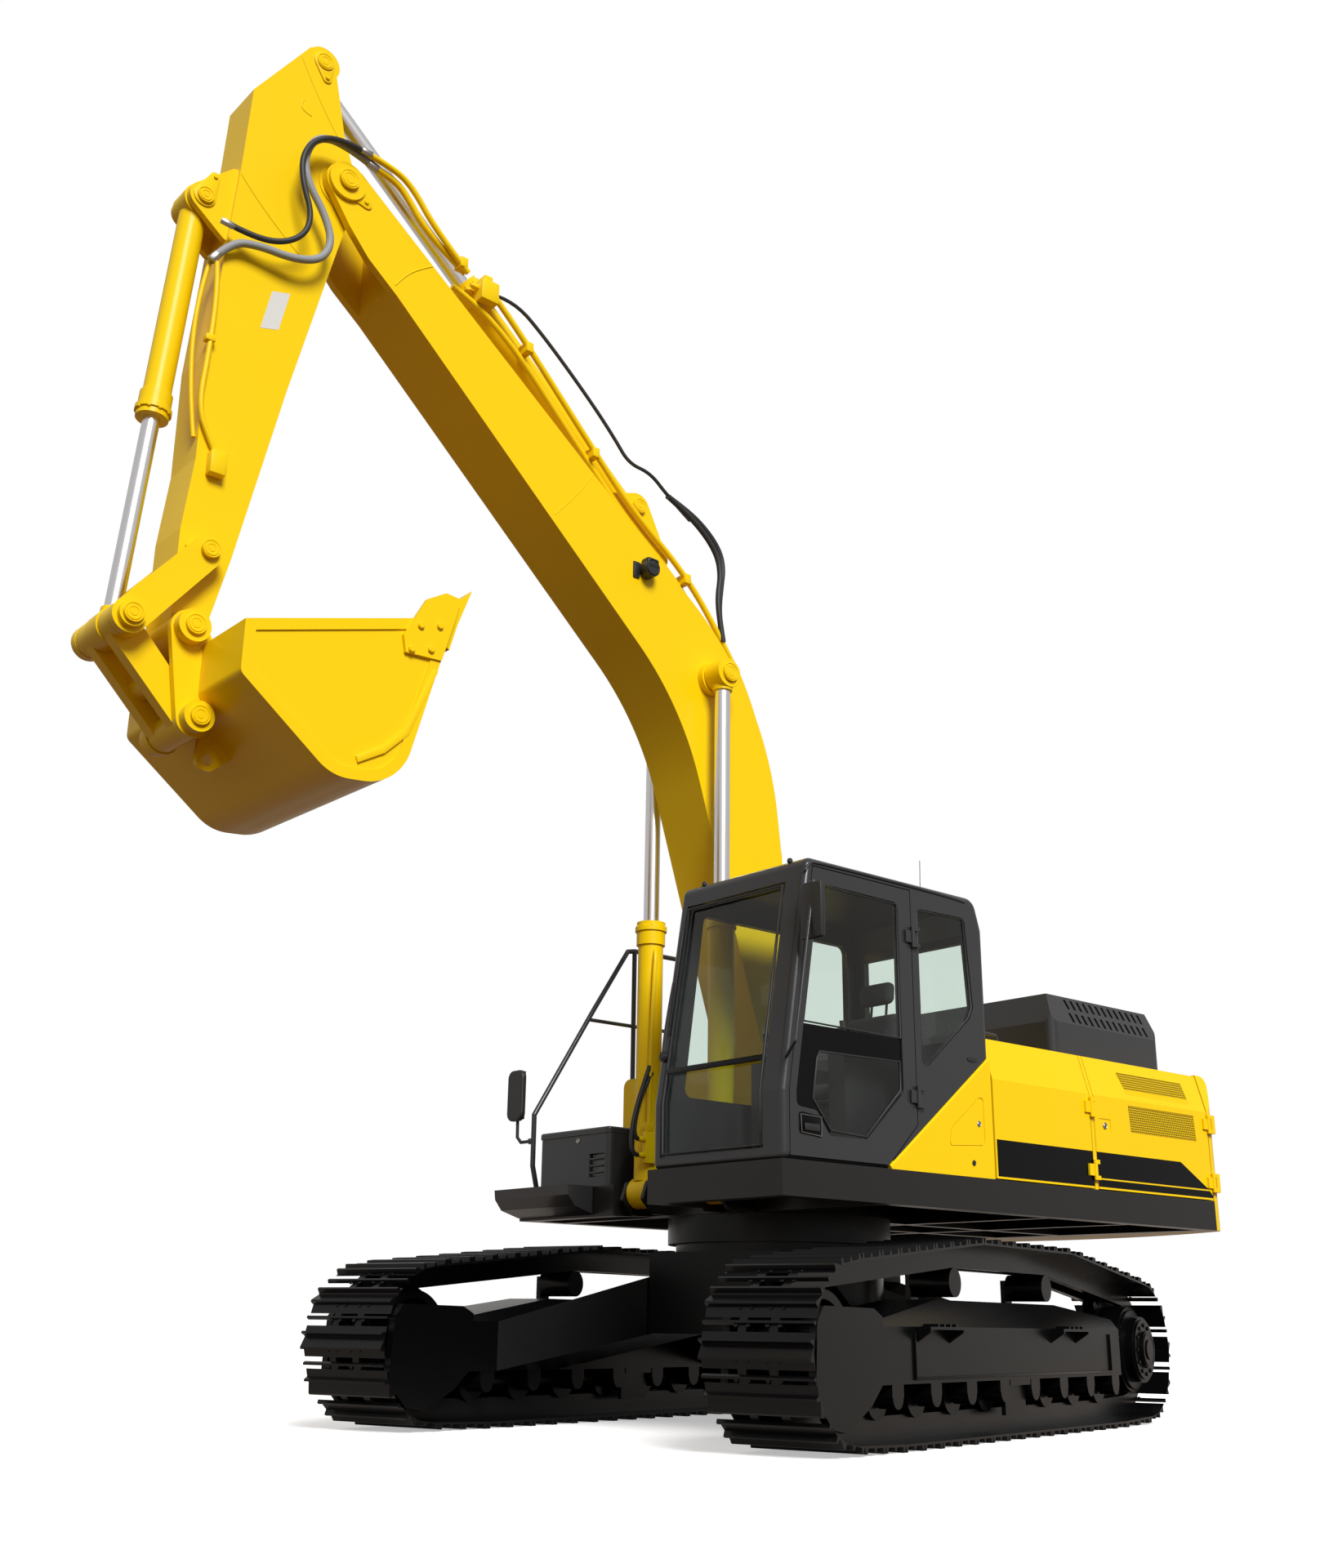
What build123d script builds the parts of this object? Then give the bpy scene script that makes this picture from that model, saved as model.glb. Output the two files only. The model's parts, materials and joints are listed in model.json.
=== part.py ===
from build123d import *
import math
import os

os.makedirs("parts", exist_ok=True)

# Crawler excavator of the 30-tonne class. All sizes are in millimetres.
# Modelling frame: the swing axis is X = Y = 0 and the ground is Z = 0.
# +X points to the front of the house, +Y to its left (the cab side), +Z up.
# (x, z) pairs are places in the side view; the front linkage is modelled in its parked pose.

# ---- frame -------------------------------------------------------------------------------
SLEW_ANGLE = 15.0          # the tracks are turned this far under the house
SWING_X = -870.0           # the swing axis in the finished part's frame

# ---- undercarriage -----------------------------------------------------------------------
TRACK_GAUGE = 2600.0
SHOE_WIDTH = 600.0
WHEEL_BASE = 4030.0        # idler centre to sprocket centre
CHAIN_PITCH = 203.0
CHAIN_RADIUS = 344.0       # chain pin line round the sprocket and the idler
WHEEL_Z = 455.0
LINK_BELOW = 60.0          # pin line to the shoe's underside
LINK_ABOVE = 57.0          # pin line to the rail that the rollers run on
SHOE_PLATE = 11.0
GROUSER = 37.0             # shoe underside to the tip of a grouser
RAIL_OFFSET = 85.0         # rail centre to track centre
RAIL_WIDTH = 46.0
TREAD_SAG = 3.2            # how far the flat rails dip inside their circle on the idler
TEETH = 21
TOOTH_WIDTH = 76.0
ROLLER_RADIUS = 92.0
ROLLERS_PER_SIDE = 8
ROLLER_SPAN = 3010.0
CARRIER_RADIUS = 78.0
CARRIER_SAG = 0.6          # how far the flat rails dip inside their circle on a carrier roller
CARRIER_X = (520.0, -780.0)
CARRIER_PIN_Z = 943.0      # chain pin line over the carrier rollers
FRAME_BOTTOM = 305.0
FRAME_SHOULDER = 575.0     # the side frame's walls are upright to here and lean in above
FRAME_RIDGE = 712.0        # flat top of the side frame
RIDGE_HALF = 150.0
FRAME_HALF = 255.0         # side frame, half width
FRAME_END = WHEEL_BASE / 2 - 415.0   # the side frame's rear end, from its middle
FRAME_FRONT = WHEEL_BASE / 2 - 335.0
FRAME_PLATE = 40.0
DRIVE_RADIUS = 265.0
CARBODY_BOTTOM = 520.0
CARBODY_TOP = 1040.0
TURRET_RADIUS = 640.0
BEARING_RADIUS = 690.0

# ---- house -------------------------------------------------------------------------------
HOUSE_HALF = 1490.0
SKIRT_BOTTOM = 1200.0
DECK_Z = 1385.0
DECK_PLATE = 30.0
TAIL_RADIUS = 3020.0
TAIL_CORNER = 130.0        # the counterweight's upright corners
CAB_FRONT = 1425.0
CAB_REAR = -280.0
CAB_INNER = 450.0          # cab's right wall
CAB_WALL = 45.0
CAB_ROOF = 3030.0
ROOF_FRONT = 1215.0
CAB_BEND = 1740.0          # the cab's front leans back above this height
DOOR_REAR = 376.0          # rear edge of the cab door
COVER_TOP = 2205.0
COVER_CREASE = 1960.0      # the covers lean in above this height
COVER_LEAN = 66.0          # how far they lean in at the top
COVER_MID = -1256.0        # post between the two left side doors
COVER_END = -2540.0        # covers end, counterweight begins
COVER_WALL = 35.0
HOOD_FRONT = -1235.0
HOOD_REAR = -2425.0
HOOD_SHOULDER = 2450.0     # the hood's sides are upright to here
HOOD_TOP = 2640.0
HOOD_HALF = 1250.0
HOOD_LEAN = 75.0
HOOD_WALL = 35.0
WEIGHT_TOP = 2215.0
WEIGHT_BOTTOM = 1200.0
BOX_FRONT = 913.0          # storage box and right deck corner
BOX_REAR = 60.0
RIGHT_INNER = -516.0       # inner side of the right tanks
SEAM = 6.0                 # gap round doors and lids
STEP_GAP = 5.0             # running gap between moving plates
SEAT = 0.3                 # clearance where one piece turns in, rolls on or rests near another
HINGE_RADIUS = 13.0
HINGE_PIN = 7.0
HINGE_HALF = 35.0
HINGE_STAND = 14.0         # hinge line above the door's face
HINGE_LEAF = 60.0
HINGE_EAR = 25.0

# ---- front linkage: pin centres in the side view -----------------------------------------
BOOM_FOOT = (89.0, 1918.0)
BOOM_TIP = (3684.0, 6926.0)
BOOM_CYLINDER_BASE = (801.0, 1334.0)
BOOM_CYLINDER_ROD = (784.0, 4548.0)
ARM_CYLINDER_BASE = (1350.0, 5640.0)
ARM_CYLINDER_ROD = (3862.0, 7732.0)
BUCKET_CYLINDER_BASE = (4492.0, 6474.0)
ROCKER_PIVOT = (4300.0, 4322.0)
LINK_PIN = (4674.0, 3850.0)
BUCKET_PIN = (4336.0, 3892.0)
BUCKET_LINK_PIN = (4263.0, 3420.0)
PIN_RADIUS = 45.0
BOOM_HALF = 215.0
BOOM_WALL = 28.0
ARM_HALF = 150.0
ARM_WALL = 25.0
ARM_BOSS_HALF = 158.0
FORK_GAP = 7.0
BOOM_CYLINDER_Y = 335.0
BOOM_BARREL_RADIUS = 80.0
BOOM_ROD_RADIUS = 50.0
ARM_BARREL_RADIUS = 88.0
ARM_ROD_RADIUS = 53.0
BUCKET_BARREL_RADIUS = 75.0
BUCKET_ROD_RADIUS = 46.0
EYE_HALF = 68.0            # half width of a cylinder's rod eye
BOOM_BASE_HALF = 78.0      # half widths of the cylinders' base eyes
ARM_BASE_HALF = 90.0
BUCKET_BASE_HALF = 77.0
LUG_WALL = 40.0
EYE_RADIUS = 95.0
BUCKET_HALF = 650.0
BUCKET_WALL = 28.0
TEETH_ON_BUCKET = 5

house_place = Location((SWING_X, 0, 0))
track_place = Location((SWING_X, 0, 0), (0, 0, SLEW_ANGLE))


def finish(built, node, place):
    """Name a finished piece and write it in the part's frame."""
    built.part.label = node
    export_step(built.part.moved(place), f"parts/{node}.step")


def plate(outline, y_low, y_high, radius=0, mode=Mode.ADD):
    """A plate with a side outline of (x, z) points, between two Y values."""
    with BuildSketch(Plane.XZ.offset(-y_high)) as face:
        with BuildLine():
            if radius:
                FilletPolyline(*outline, radius=radius, close=True)
            else:
                Polyline(*outline, close=True)
        make_face()
    extrude(face.sketch, amount=y_high - y_low, mode=mode)


def disc(centre, radius, y_low, y_high, mode=Mode.ADD):
    """A round boss, pin or hole along Y at an (x, z) centre."""
    with BuildSketch(Plane.XZ.offset(-y_high)) as face:
        with Locations(centre):
            Circle(radius)
    extrude(face.sketch, amount=y_high - y_low, mode=mode)


def link(circles, y_low, y_high, mode=Mode.ADD):
    """A plate whose outline is drawn tight round several (centre, radius) circles."""
    with BuildSketch(Plane.XZ.offset(-y_high)) as face:
        for centre, radius in circles:
            with Locations(centre):
                Circle(radius)
        make_hull()
    extrude(face.sketch, amount=y_high - y_low, mode=mode)


def slab(outline, z_low, z_high, radius=0, mode=Mode.ADD):
    """A flat piece with a plan outline of (x, y) points, between two heights."""
    with BuildSketch(Plane.XY.offset(z_low)) as face:
        with BuildLine():
            if radius:
                FilletPolyline(*outline, radius=radius, close=True)
            else:
                Polyline(*outline, close=True)
        make_face()
    extrude(face.sketch, amount=z_high - z_low, mode=mode)


def bar(outline, x_low, x_high, mode=Mode.ADD):
    """A piece with a cross-section of (y, z) points, between two X values."""
    with BuildSketch(Plane.YZ.offset(x_low)) as face:
        with BuildLine():
            Polyline(*outline, close=True)
        make_face()
    extrude(face.sketch, amount=x_high - x_low, mode=mode)


def block(x, y, z, mode=Mode.ADD):
    """A box between pairs of X, Y and Z values."""
    plate([(x[0], z[0]), (x[1], z[0]), (x[1], z[1]), (x[0], z[1])], y[0], y[1], mode=mode)


def rod(start, end, radius, mode=Mode.ADD):
    """A round bar between two (x, y, z) points."""
    way = Vector(*end) - Vector(*start)
    with BuildSketch(Plane(origin=start, z_dir=way)) as face:
        Circle(radius)
    extrude(face.sketch, amount=way.length, mode=mode)


def hinge_leaf(point, door, line):
    """A door's half of a hinge: a drilled barrel and the leaf on the door's face.

    The point is on the hinge line, door is the way to the door, and turning about line opens it.
    """
    with BuildSketch(Plane(origin=Vector(*point) - Vector(*line) * HINGE_HALF, x_dir=door,
                           z_dir=line)) as leaf:
        Circle(HINGE_RADIUS)
        with Locations((HINGE_LEAF / 2, -HINGE_STAND / 2)):
            Rectangle(HINGE_LEAF, HINGE_STAND)
        Circle(HINGE_PIN + SEAT, mode=Mode.SUBTRACT)
    extrude(leaf.sketch, amount=2 * HINGE_HALF)


def hinge_bracket(point, door, line, reach):
    """The fixed half of a hinge: a pin between two ears that reach back from the hinge line."""
    way = Vector(*line)
    for start in (-HINGE_HALF - HINGE_EAR, HINGE_HALF + SEAT):
        with BuildSketch(Plane(origin=Vector(*point) + way * start, x_dir=door, z_dir=line)) as ear:
            Circle(HINGE_RADIUS)
            with Locations((-reach / 2, (HINGE_RADIUS - HINGE_STAND) / 2)):
                Rectangle(reach, HINGE_RADIUS + HINGE_STAND)
        extrude(ear.sketch, amount=HINGE_EAR)
    end = HINGE_HALF + HINGE_EAR
    rod(tuple(Vector(*point) - way * end), tuple(Vector(*point) + way * end), HINGE_PIN)


def along(start, end, distance):
    """The (x, z) point at a distance from start towards end."""
    length = math.dist(start, end)
    return tuple(a + (b - a) * distance / length for a, b in zip(start, end))


# ---- undercarriage -----------------------------------------------------------------------
IDLER_X = WHEEL_BASE / 2
SPROCKET_X = -WHEEL_BASE / 2
TREAD_RADIUS = CHAIN_RADIUS - LINK_ABOVE - TREAD_SAG - SEAT
ROLLER_Z = GROUSER + LINK_BELOW + LINK_ABOVE + ROLLER_RADIUS + SEAT
BOTTOM_PIN_Z = GROUSER + LINK_BELOW
CARRIER_Z = CARRIER_PIN_Z - LINK_ABOVE - CARRIER_RADIUS - SEAT


# Eight-sided plate beside the idler: corners from the idler's centre, forward and up.
IDLER_GUARD = [(-341, -150), (-222, -243), (23, -352), (163, -330), (310, -196), (288, 135), (225, 205),
               (-269, 200), (-364, 160)]
GUARD_HALF = 140.0         # half length of the chain guard between the middle rollers
CHAIN_GUARD_BOTTOM = 120.0


def belt(shift, step=15):
    """Corner points of a tight belt round the track's wheels, moved outward by a shift."""
    wheels = [(IDLER_X, WHEEL_Z, CHAIN_RADIUS), (SPROCKET_X, WHEEL_Z, CHAIN_RADIUS)]
    roller_line = ROLLER_RADIUS + LINK_ABOVE
    for end in (-1, 1):
        wheels.append((end * ROLLER_SPAN / 2, BOTTOM_PIN_Z + roller_line, roller_line))
    for x in CARRIER_X:
        wheels.append((x, CARRIER_Z, CARRIER_PIN_Z - CARRIER_Z))
    points = []
    for x, z, radius in wheels:
        for angle in range(0, 360, step):
            turn = math.radians(angle)
            reach = radius + shift
            points.append((round(x + reach * math.cos(turn), 4), round(z + reach * math.sin(turn), 4)))
    points = sorted(set(points))
    halves = []
    for ordered in (points, points[::-1]):
        half = []
        for p in ordered:
            while len(half) > 1 and cross(half[-2], half[-1], p) <= 0.5:
                half.pop()
            half.append(p)
        halves += half[:-1]
    return halves


def cross(a, b, c):
    """Twice the area of the triangle a, b, c; positive when it turns left."""
    return (b[0] - a[0]) * (c[1] - a[1]) - (b[1] - a[1]) * (c[0] - a[0])


def pins():
    """Chain pin places, evenly spaced round the pitch line."""
    loop = belt(0, step=3)
    sides = list(zip(loop, loop[1:] + loop[:1]))
    length = sum(math.dist(a, b) for a, b in sides)
    count = round(length / CHAIN_PITCH)
    places = []
    travelled = 0.0
    for a, b in sides:
        side = math.dist(a, b)
        while len(places) < count and len(places) * length / count < travelled + side:
            places.append(along(a, b, len(places) * length / count - travelled))
        travelled += side
    return places


# A shoe's outer outline: share of the pitch, height above the shoe's underside.
SHOE_PROFILE = [
    (0.00, SHOE_PLATE - 7), (0.02, SHOE_PLATE), (0.04, GROUSER), (0.10, GROUSER), (0.14, SHOE_PLATE),
    (0.44, SHOE_PLATE), (0.47, GROUSER - 7), (0.53, GROUSER - 7), (0.56, SHOE_PLATE),
    (0.86, SHOE_PLATE), (0.90, GROUSER), (0.96, GROUSER),
]
chain = pins()
shoes = []
for pin, following in zip(chain, chain[1:] + chain[:1]):
    pitch = math.dist(pin, following)
    run = ((following[0] - pin[0]) / pitch, (following[1] - pin[1]) / pitch)
    for share, height in SHOE_PROFILE:
        out = LINK_BELOW + height
        shoes.append((pin[0] + run[0] * pitch * share + run[1] * out,
                      pin[1] + run[1] * pitch * share - run[0] * out))

for side, name in ((1, "left"), (-1, "right")):
    middle = side * TRACK_GAUGE / 2
    with BuildPart() as track:
        plate(shoes, middle - SHOE_WIDTH / 2, middle + SHOE_WIDTH / 2)
        plate(belt(LINK_BELOW), middle - SHOE_WIDTH / 2, middle + SHOE_WIDTH / 2, mode=Mode.SUBTRACT)
        for rail in (-RAIL_OFFSET, RAIL_OFFSET):
            low = middle + rail - RAIL_WIDTH / 2
            with BuildSketch(Plane.XZ.offset(-low - RAIL_WIDTH)) as rail_face:
                with BuildLine():
                    Polyline(*belt(LINK_BELOW), close=True)
                make_face()
                with BuildLine():
                    Polyline(*belt(-LINK_ABOVE), close=True)
                make_face(mode=Mode.SUBTRACT)
            extrude(rail_face.sketch, amount=RAIL_WIDTH)
    finish(track, f"track_{name}", track_place)

    with BuildPart() as side_frame:
        bar(
            [
                (middle - FRAME_HALF, FRAME_BOTTOM), (middle + FRAME_HALF, FRAME_BOTTOM),
                (middle + FRAME_HALF, FRAME_SHOULDER), (middle + RIDGE_HALF, FRAME_RIDGE),
                (middle - RIDGE_HALF, FRAME_RIDGE), (middle - FRAME_HALF, FRAME_SHOULDER),
            ],
            -FRAME_END, FRAME_FRONT,
        )
        for x, lower in ((FRAME_FRONT, 110), (-FRAME_END, 75)):
            slope = [(x / 2, FRAME_RIDGE), (x, FRAME_RIDGE - lower),
                     (x + math.copysign(9, x), FRAME_RIDGE + 9)]
            plate(slope, middle - FRAME_HALF, middle + FRAME_HALF, mode=Mode.SUBTRACT)
        channel = FRAME_HALF - FRAME_PLATE
        bar(
            [
                (middle - channel, ROLLER_Z - 20), (middle + channel, ROLLER_Z - 20),
                (middle + channel, FRAME_BOTTOM + 130), (middle - channel, FRAME_BOTTOM + 130),
            ],
            -FRAME_END - 10, FRAME_FRONT + 10, mode=Mode.SUBTRACT,
        )
        guard = [(IDLER_X + x, WHEEL_Z + z) for x, z in IDLER_GUARD]
        for edge in (middle - FRAME_HALF, middle + FRAME_HALF - FRAME_PLATE):
            plate(guard, edge, edge + FRAME_PLATE, radius=12)
        for face in (-1, 1):
            low, high = sorted((middle + face * (channel - 25), middle + face * channel))
            block((-GUARD_HALF, GUARD_HALF), (low, high), (CHAIN_GUARD_BOTTOM, FRAME_BOTTOM + 60))
            block((-GUARD_HALF, GUARD_HALF), sorted((middle + face * (channel - 25),
                                                     middle + face * (FRAME_HALF - 5))),
                  (FRAME_BOTTOM - 30, FRAME_BOTTOM))
        inner = middle - side * FRAME_HALF
        low, high = sorted((inner, inner + side * FRAME_PLATE))
        link([((-FRAME_END + 160, WHEEL_Z), 130), ((SPROCKET_X, WHEEL_Z), DRIVE_RADIUS - 65)], low, high)
    finish(side_frame, f"side_frame_{name}", track_place)

with BuildPart() as idlers:
    for side in (-1, 1):
        middle = side * TRACK_GAUGE / 2
        disc((IDLER_X, WHEEL_Z), TREAD_RADIUS, middle - 125, middle + 125)
        disc((IDLER_X, WHEEL_Z), TREAD_RADIUS + 30, middle - 50, middle + 50)
        for face in (-1, 1):
            low, high = sorted((middle + face * 60, middle + face * 130))
            disc((IDLER_X, WHEEL_Z), TREAD_RADIUS - 45, low, high, mode=Mode.SUBTRACT)
        disc((IDLER_X, WHEEL_Z), 100, middle - 130, middle + 130)
        disc((IDLER_X, WHEEL_Z), PIN_RADIUS, middle - FRAME_HALF + FRAME_PLATE,
             middle + FRAME_HALF - FRAME_PLATE)
finish(idlers, "idlers", track_place)

with BuildPart() as sprockets:
    for side in (-1, 1):
        middle = side * TRACK_GAUGE / 2
        with BuildSketch(Plane.XZ.offset(-middle - TOOTH_WIDTH / 2)) as wheel_face:
            with Locations((SPROCKET_X, WHEEL_Z)):
                Circle(CHAIN_RADIUS - 32)
            with Locations((SPROCKET_X, WHEEL_Z)):
                with PolarLocations(CHAIN_RADIUS - 6, TEETH):
                    Trapezoid(78, 66, 74, rotation=-90)
            with Locations((SPROCKET_X, WHEEL_Z)):
                Circle(150, mode=Mode.SUBTRACT)
        extrude(wheel_face.sketch, amount=TOOTH_WIDTH)
finish(sprockets, "sprockets", track_place)

# Steps of the final drive's cover: radius, inner and outer distance from the track's middle.
DRIVE_STEPS = [
    (150, FRAME_PLATE - FRAME_HALF, 60), (DRIVE_RADIUS, 60, 185), (DRIVE_RADIUS - 22, 185, 200),
    (DRIVE_RADIUS - 62, 200, 262),
    (DRIVE_RADIUS - 80, 262, 276), (DRIVE_RADIUS - 150, 276, 300), (62, 300, 312),
]
with BuildPart() as final_drives:
    for side in (-1, 1):
        middle = side * TRACK_GAUGE / 2
        centre = (SPROCKET_X, WHEEL_Z)
        for radius, start, end in DRIVE_STEPS:
            low, high = sorted((middle + side * start, middle + side * end))
            disc(centre, radius, low, high)
        low, high = sorted((middle - side * (FRAME_HALF), middle - side * (FRAME_HALF + 190)))
        disc(centre, 175, low, high)
finish(final_drives, "final_drives", track_place)

with BuildPart() as bottom_rollers:
    for side in (-1, 1):
        middle = side * TRACK_GAUGE / 2
        for index in range(ROLLERS_PER_SIDE):
            x = -ROLLER_SPAN / 2 + index * ROLLER_SPAN / (ROLLERS_PER_SIDE - 1)
            disc((x, ROLLER_Z), ROLLER_RADIUS, middle - 112, middle + 112)
            disc((x, ROLLER_Z), ROLLER_RADIUS + 18, middle - 135, middle - 112)
            disc((x, ROLLER_Z), ROLLER_RADIUS + 18, middle + 112, middle + 135)
            disc((x, ROLLER_Z), 38, middle - FRAME_HALF + 10, middle + FRAME_HALF - 10)
            for face in (-1, 1):
                low, high = sorted((middle + face * 148, middle + face * (FRAME_HALF - 5)))
                block((x - 62, x + 62), (low, high), (ROLLER_Z, FRAME_BOTTOM))
                disc((x, ROLLER_Z), 56, low, high)
finish(bottom_rollers, "bottom_rollers", track_place)

with BuildPart() as carrier_rollers:
    for side in (-1, 1):
        middle = side * TRACK_GAUGE / 2
        for x in CARRIER_X:
            disc((x, CARRIER_Z), CARRIER_RADIUS - CARRIER_SAG, middle - 120, middle + 120)
            block((x - 45, x + 45), (middle - 160, middle - 128), (FRAME_RIDGE, CARRIER_Z + 45))
            disc((x, CARRIER_Z), 30, middle - 128, middle - 120)
finish(carrier_rollers, "carrier_rollers", track_place)

STEP_X = (-665.0, 1102.0)
STEP_HALF = 200.0
STEP_REACH = 85.0
with BuildPart() as track_steps:
    for side in (-1, 1):
        edge = side * (TRACK_GAUGE / 2 + FRAME_HALF)
        tip = edge + side * STEP_REACH
        low, high = sorted((edge, tip))
        gusset = [(edge, FRAME_SHOULDER - 80), (edge, FRAME_SHOULDER), (tip, FRAME_SHOULDER),
                  (tip, FRAME_SHOULDER - 25)]
        for x in STEP_X:
            block((x - STEP_HALF, x + STEP_HALF), (low, high), (FRAME_SHOULDER - 14, FRAME_SHOULDER))
            for end in (x - STEP_HALF, x + STEP_HALF - 14):
                bar(gusset, end, end + 14)
            for rib in (-105, -35, 35, 105):
                block((x + rib - 8, x + rib + 8), (low, high), (FRAME_SHOULDER, FRAME_SHOULDER + 14))
finish(track_steps, "track_steps", track_place)

with BuildPart() as carbody:
    LEG_X = 1150.0
    LEG_WIDTH = 560.0
    inner = TRACK_GAUGE / 2 - FRAME_HALF
    for leg_side in (-1, 1):
        for end in (-1, 1):
            with BuildSketch(Plane.XZ.offset(-leg_side * 430)) as root:
                with Locations((end * 420, 690)):
                    Rectangle(560, 330)
            with BuildSketch(Plane.XZ.offset(-leg_side * inner)) as tip:
                with Locations((end * LEG_X, (FRAME_BOTTOM + FRAME_SHOULDER) / 2)):
                    Rectangle(LEG_WIDTH, FRAME_SHOULDER - FRAME_BOTTOM)
            loft([root.sketch.faces()[0], tip.sketch.faces()[0]])
    block((-760, 760), (-450, 450), (CARBODY_BOTTOM, CARBODY_TOP - 60))
    with BuildSketch(Plane.XY.offset(CARBODY_BOTTOM + 60)) as turret:
        Circle(TURRET_RADIUS)
    extrude(turret.sketch, amount=CARBODY_TOP - CARBODY_BOTTOM - 60)
    with BuildSketch(Plane.XY.offset(CARBODY_BOTTOM - 10)) as swivel_hole:
        Circle(180)
    extrude(swivel_hole.sketch, amount=CARBODY_TOP, mode=Mode.SUBTRACT)
finish(carbody, "carbody", track_place)

with BuildPart() as swing_bearing:
    with BuildSketch(Plane.XY.offset(CARBODY_TOP)) as ring:
        Circle(BEARING_RADIUS)
        Circle(BEARING_RADIUS - 130, mode=Mode.SUBTRACT)
    extrude(ring.sketch, amount=SKIRT_BOTTOM - CARBODY_TOP - SEAT)
finish(swing_bearing, "swing_bearing", track_place)

# ---- house: deck -------------------------------------------------------------------------
DECK_END = COVER_END - SEAM + SEAT
DECK_OUTLINE = [
    (CAB_FRONT + 8, HOUSE_HALF), (DECK_END, HOUSE_HALF), (DECK_END, -HOUSE_HALF), (BOX_FRONT, -HOUSE_HALF),
    (BOX_FRONT, RIGHT_INNER), (700, RIGHT_INNER + 60), (700, CAB_INNER - 26),
    (CAB_FRONT + 8, CAB_INNER - 26),
]
MAIN_BEAM_Y = 250.0
EAR_WALL = 60.0
FOOT_WALL = 28.0
FOOT_PIN_RADIUS = 55.0

with BuildPart() as deck_frame:
    slab(DECK_OUTLINE, SKIRT_BOTTOM, DECK_Z)
    slab([(1330, 1390), (-2450, 1390), (-2450, -1390), (820, -1390), (820, -560), (640, -400), (640, 360),
          (1330, 480)],
         SKIRT_BOTTOM - 1, DECK_Z - DECK_PLATE, mode=Mode.SUBTRACT)
    for y in (-MAIN_BEAM_Y - EAR_WALL, MAIN_BEAM_Y):
        block((-2450, 660), (y, y + EAR_WALL), (SKIRT_BOTTOM, DECK_Z - DECK_PLATE))
    for x in (-1700, -900, 560):
        block((x, x + 60), (-1400, 1400), (SKIRT_BOTTOM, DECK_Z - DECK_PLATE))
    block((-800, 560), (-MAIN_BEAM_Y, MAIN_BEAM_Y), (SKIRT_BOTTOM, SKIRT_BOTTOM + 40))
    for side in (-1, 1):
        low, high = sorted((side * MAIN_BEAM_Y, side * (MAIN_BEAM_Y + EAR_WALL)))
        plate([(-760, DECK_Z - 1), (700, DECK_Z - 1), (640, DECK_Z + 100), (230, 1960), (60, 2060),
               (-90, 1990)], low, high)
        disc(BOOM_FOOT, 150, low, high)
        for y in (BOOM_CYLINDER_Y - BOOM_BASE_HALF - STEP_GAP - FOOT_WALL,
                  BOOM_CYLINDER_Y + BOOM_BASE_HALF + STEP_GAP):
            low, high = sorted((side * y, side * (y + FOOT_WALL)))
            plate([(560, SKIRT_BOTTOM), (830, SKIRT_BOTTOM), (920, 1290), (880, 1400), (560, 1420)], low,
                  high, radius=20)
        reach = BOOM_BASE_HALF + STEP_GAP + 1
        disc(BOOM_CYLINDER_BASE, PIN_RADIUS, side * BOOM_CYLINDER_Y - reach, side * BOOM_CYLINDER_Y + reach)
    disc(BOOM_FOOT, FOOT_PIN_RADIUS, -MAIN_BEAM_Y - 1, MAIN_BEAM_Y + 1)
finish(deck_frame, "deck_frame", house_place)

HOOD_HINGES = (-850.0, 850.0)
FORWARD = (1, 0, 0)
HINGE_Y = HOUSE_HALF + HINGE_STAND
HINGE_HEIGHTS = (1500.0, 1880.0)
LIFT_EYES = (-600.0, 600.0)
LIFT_EYE = (-2760.0, WEIGHT_TOP + 60.0)
LIFT_BORE = 32.0
with BuildPart() as counterweight:
    with BuildSketch(Plane.XY.offset(WEIGHT_BOTTOM)) as weight_plan:
        Circle(TAIL_RADIUS)
        with Locations((COVER_END - 500, 0)):
            Rectangle(1000 - 2 * SEAM, 2 * HOUSE_HALF - 4, mode=Mode.INTERSECT)
    extrude(weight_plan.sketch, amount=WEIGHT_TOP - WEIGHT_BOTTOM)
    corners = counterweight.edges().filter_by(Axis.Z).group_by(Axis.X)[0]
    fillet(corners, radius=TAIL_CORNER)
    lean = [(HOUSE_HALF + 1, COVER_CREASE), (HOUSE_HALF + 1, WEIGHT_TOP + 1),
            (HOUSE_HALF - COVER_LEAN, WEIGHT_TOP + 1)]
    for side in (-1, 1):
        bar([(side * y, z) for y, z in lean], COVER_END - 1000, COVER_END, mode=Mode.SUBTRACT)
    back_edges = counterweight.faces().sort_by(Axis.Z)[-1].edges().filter_by(GeomType.CIRCLE).sort_by(SortBy.LENGTH)[-1]
    fillet(back_edges, radius=60)
    for y in HOOD_HINGES:
        hinge_bracket((COVER_END - HINGE_STAND, y, WEIGHT_TOP + 17), (0, 0, 1), (0, -1, 0), 17)
    for side in (-1, 1):
        low, high = sorted((side * (HOUSE_HALF - 30), side * (HINGE_Y + HINGE_RADIUS)))
        for z in HINGE_HEIGHTS:
            hinge_bracket((COVER_END + 3, side * HINGE_Y, z), FORWARD, (0, 0, side), 40)
            block((COVER_END - 50, COVER_END - 12), (low, high), (z - 60, z + 60))
    for y in LIFT_EYES:
        link([(LIFT_EYE, 62), ((LIFT_EYE[0], WEIGHT_TOP - 10), 75)], y - 20, y + 20)
        disc(LIFT_EYE, LIFT_BORE, y - 21, y + 21, mode=Mode.SUBTRACT)
finish(counterweight, "counterweight", house_place)

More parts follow.
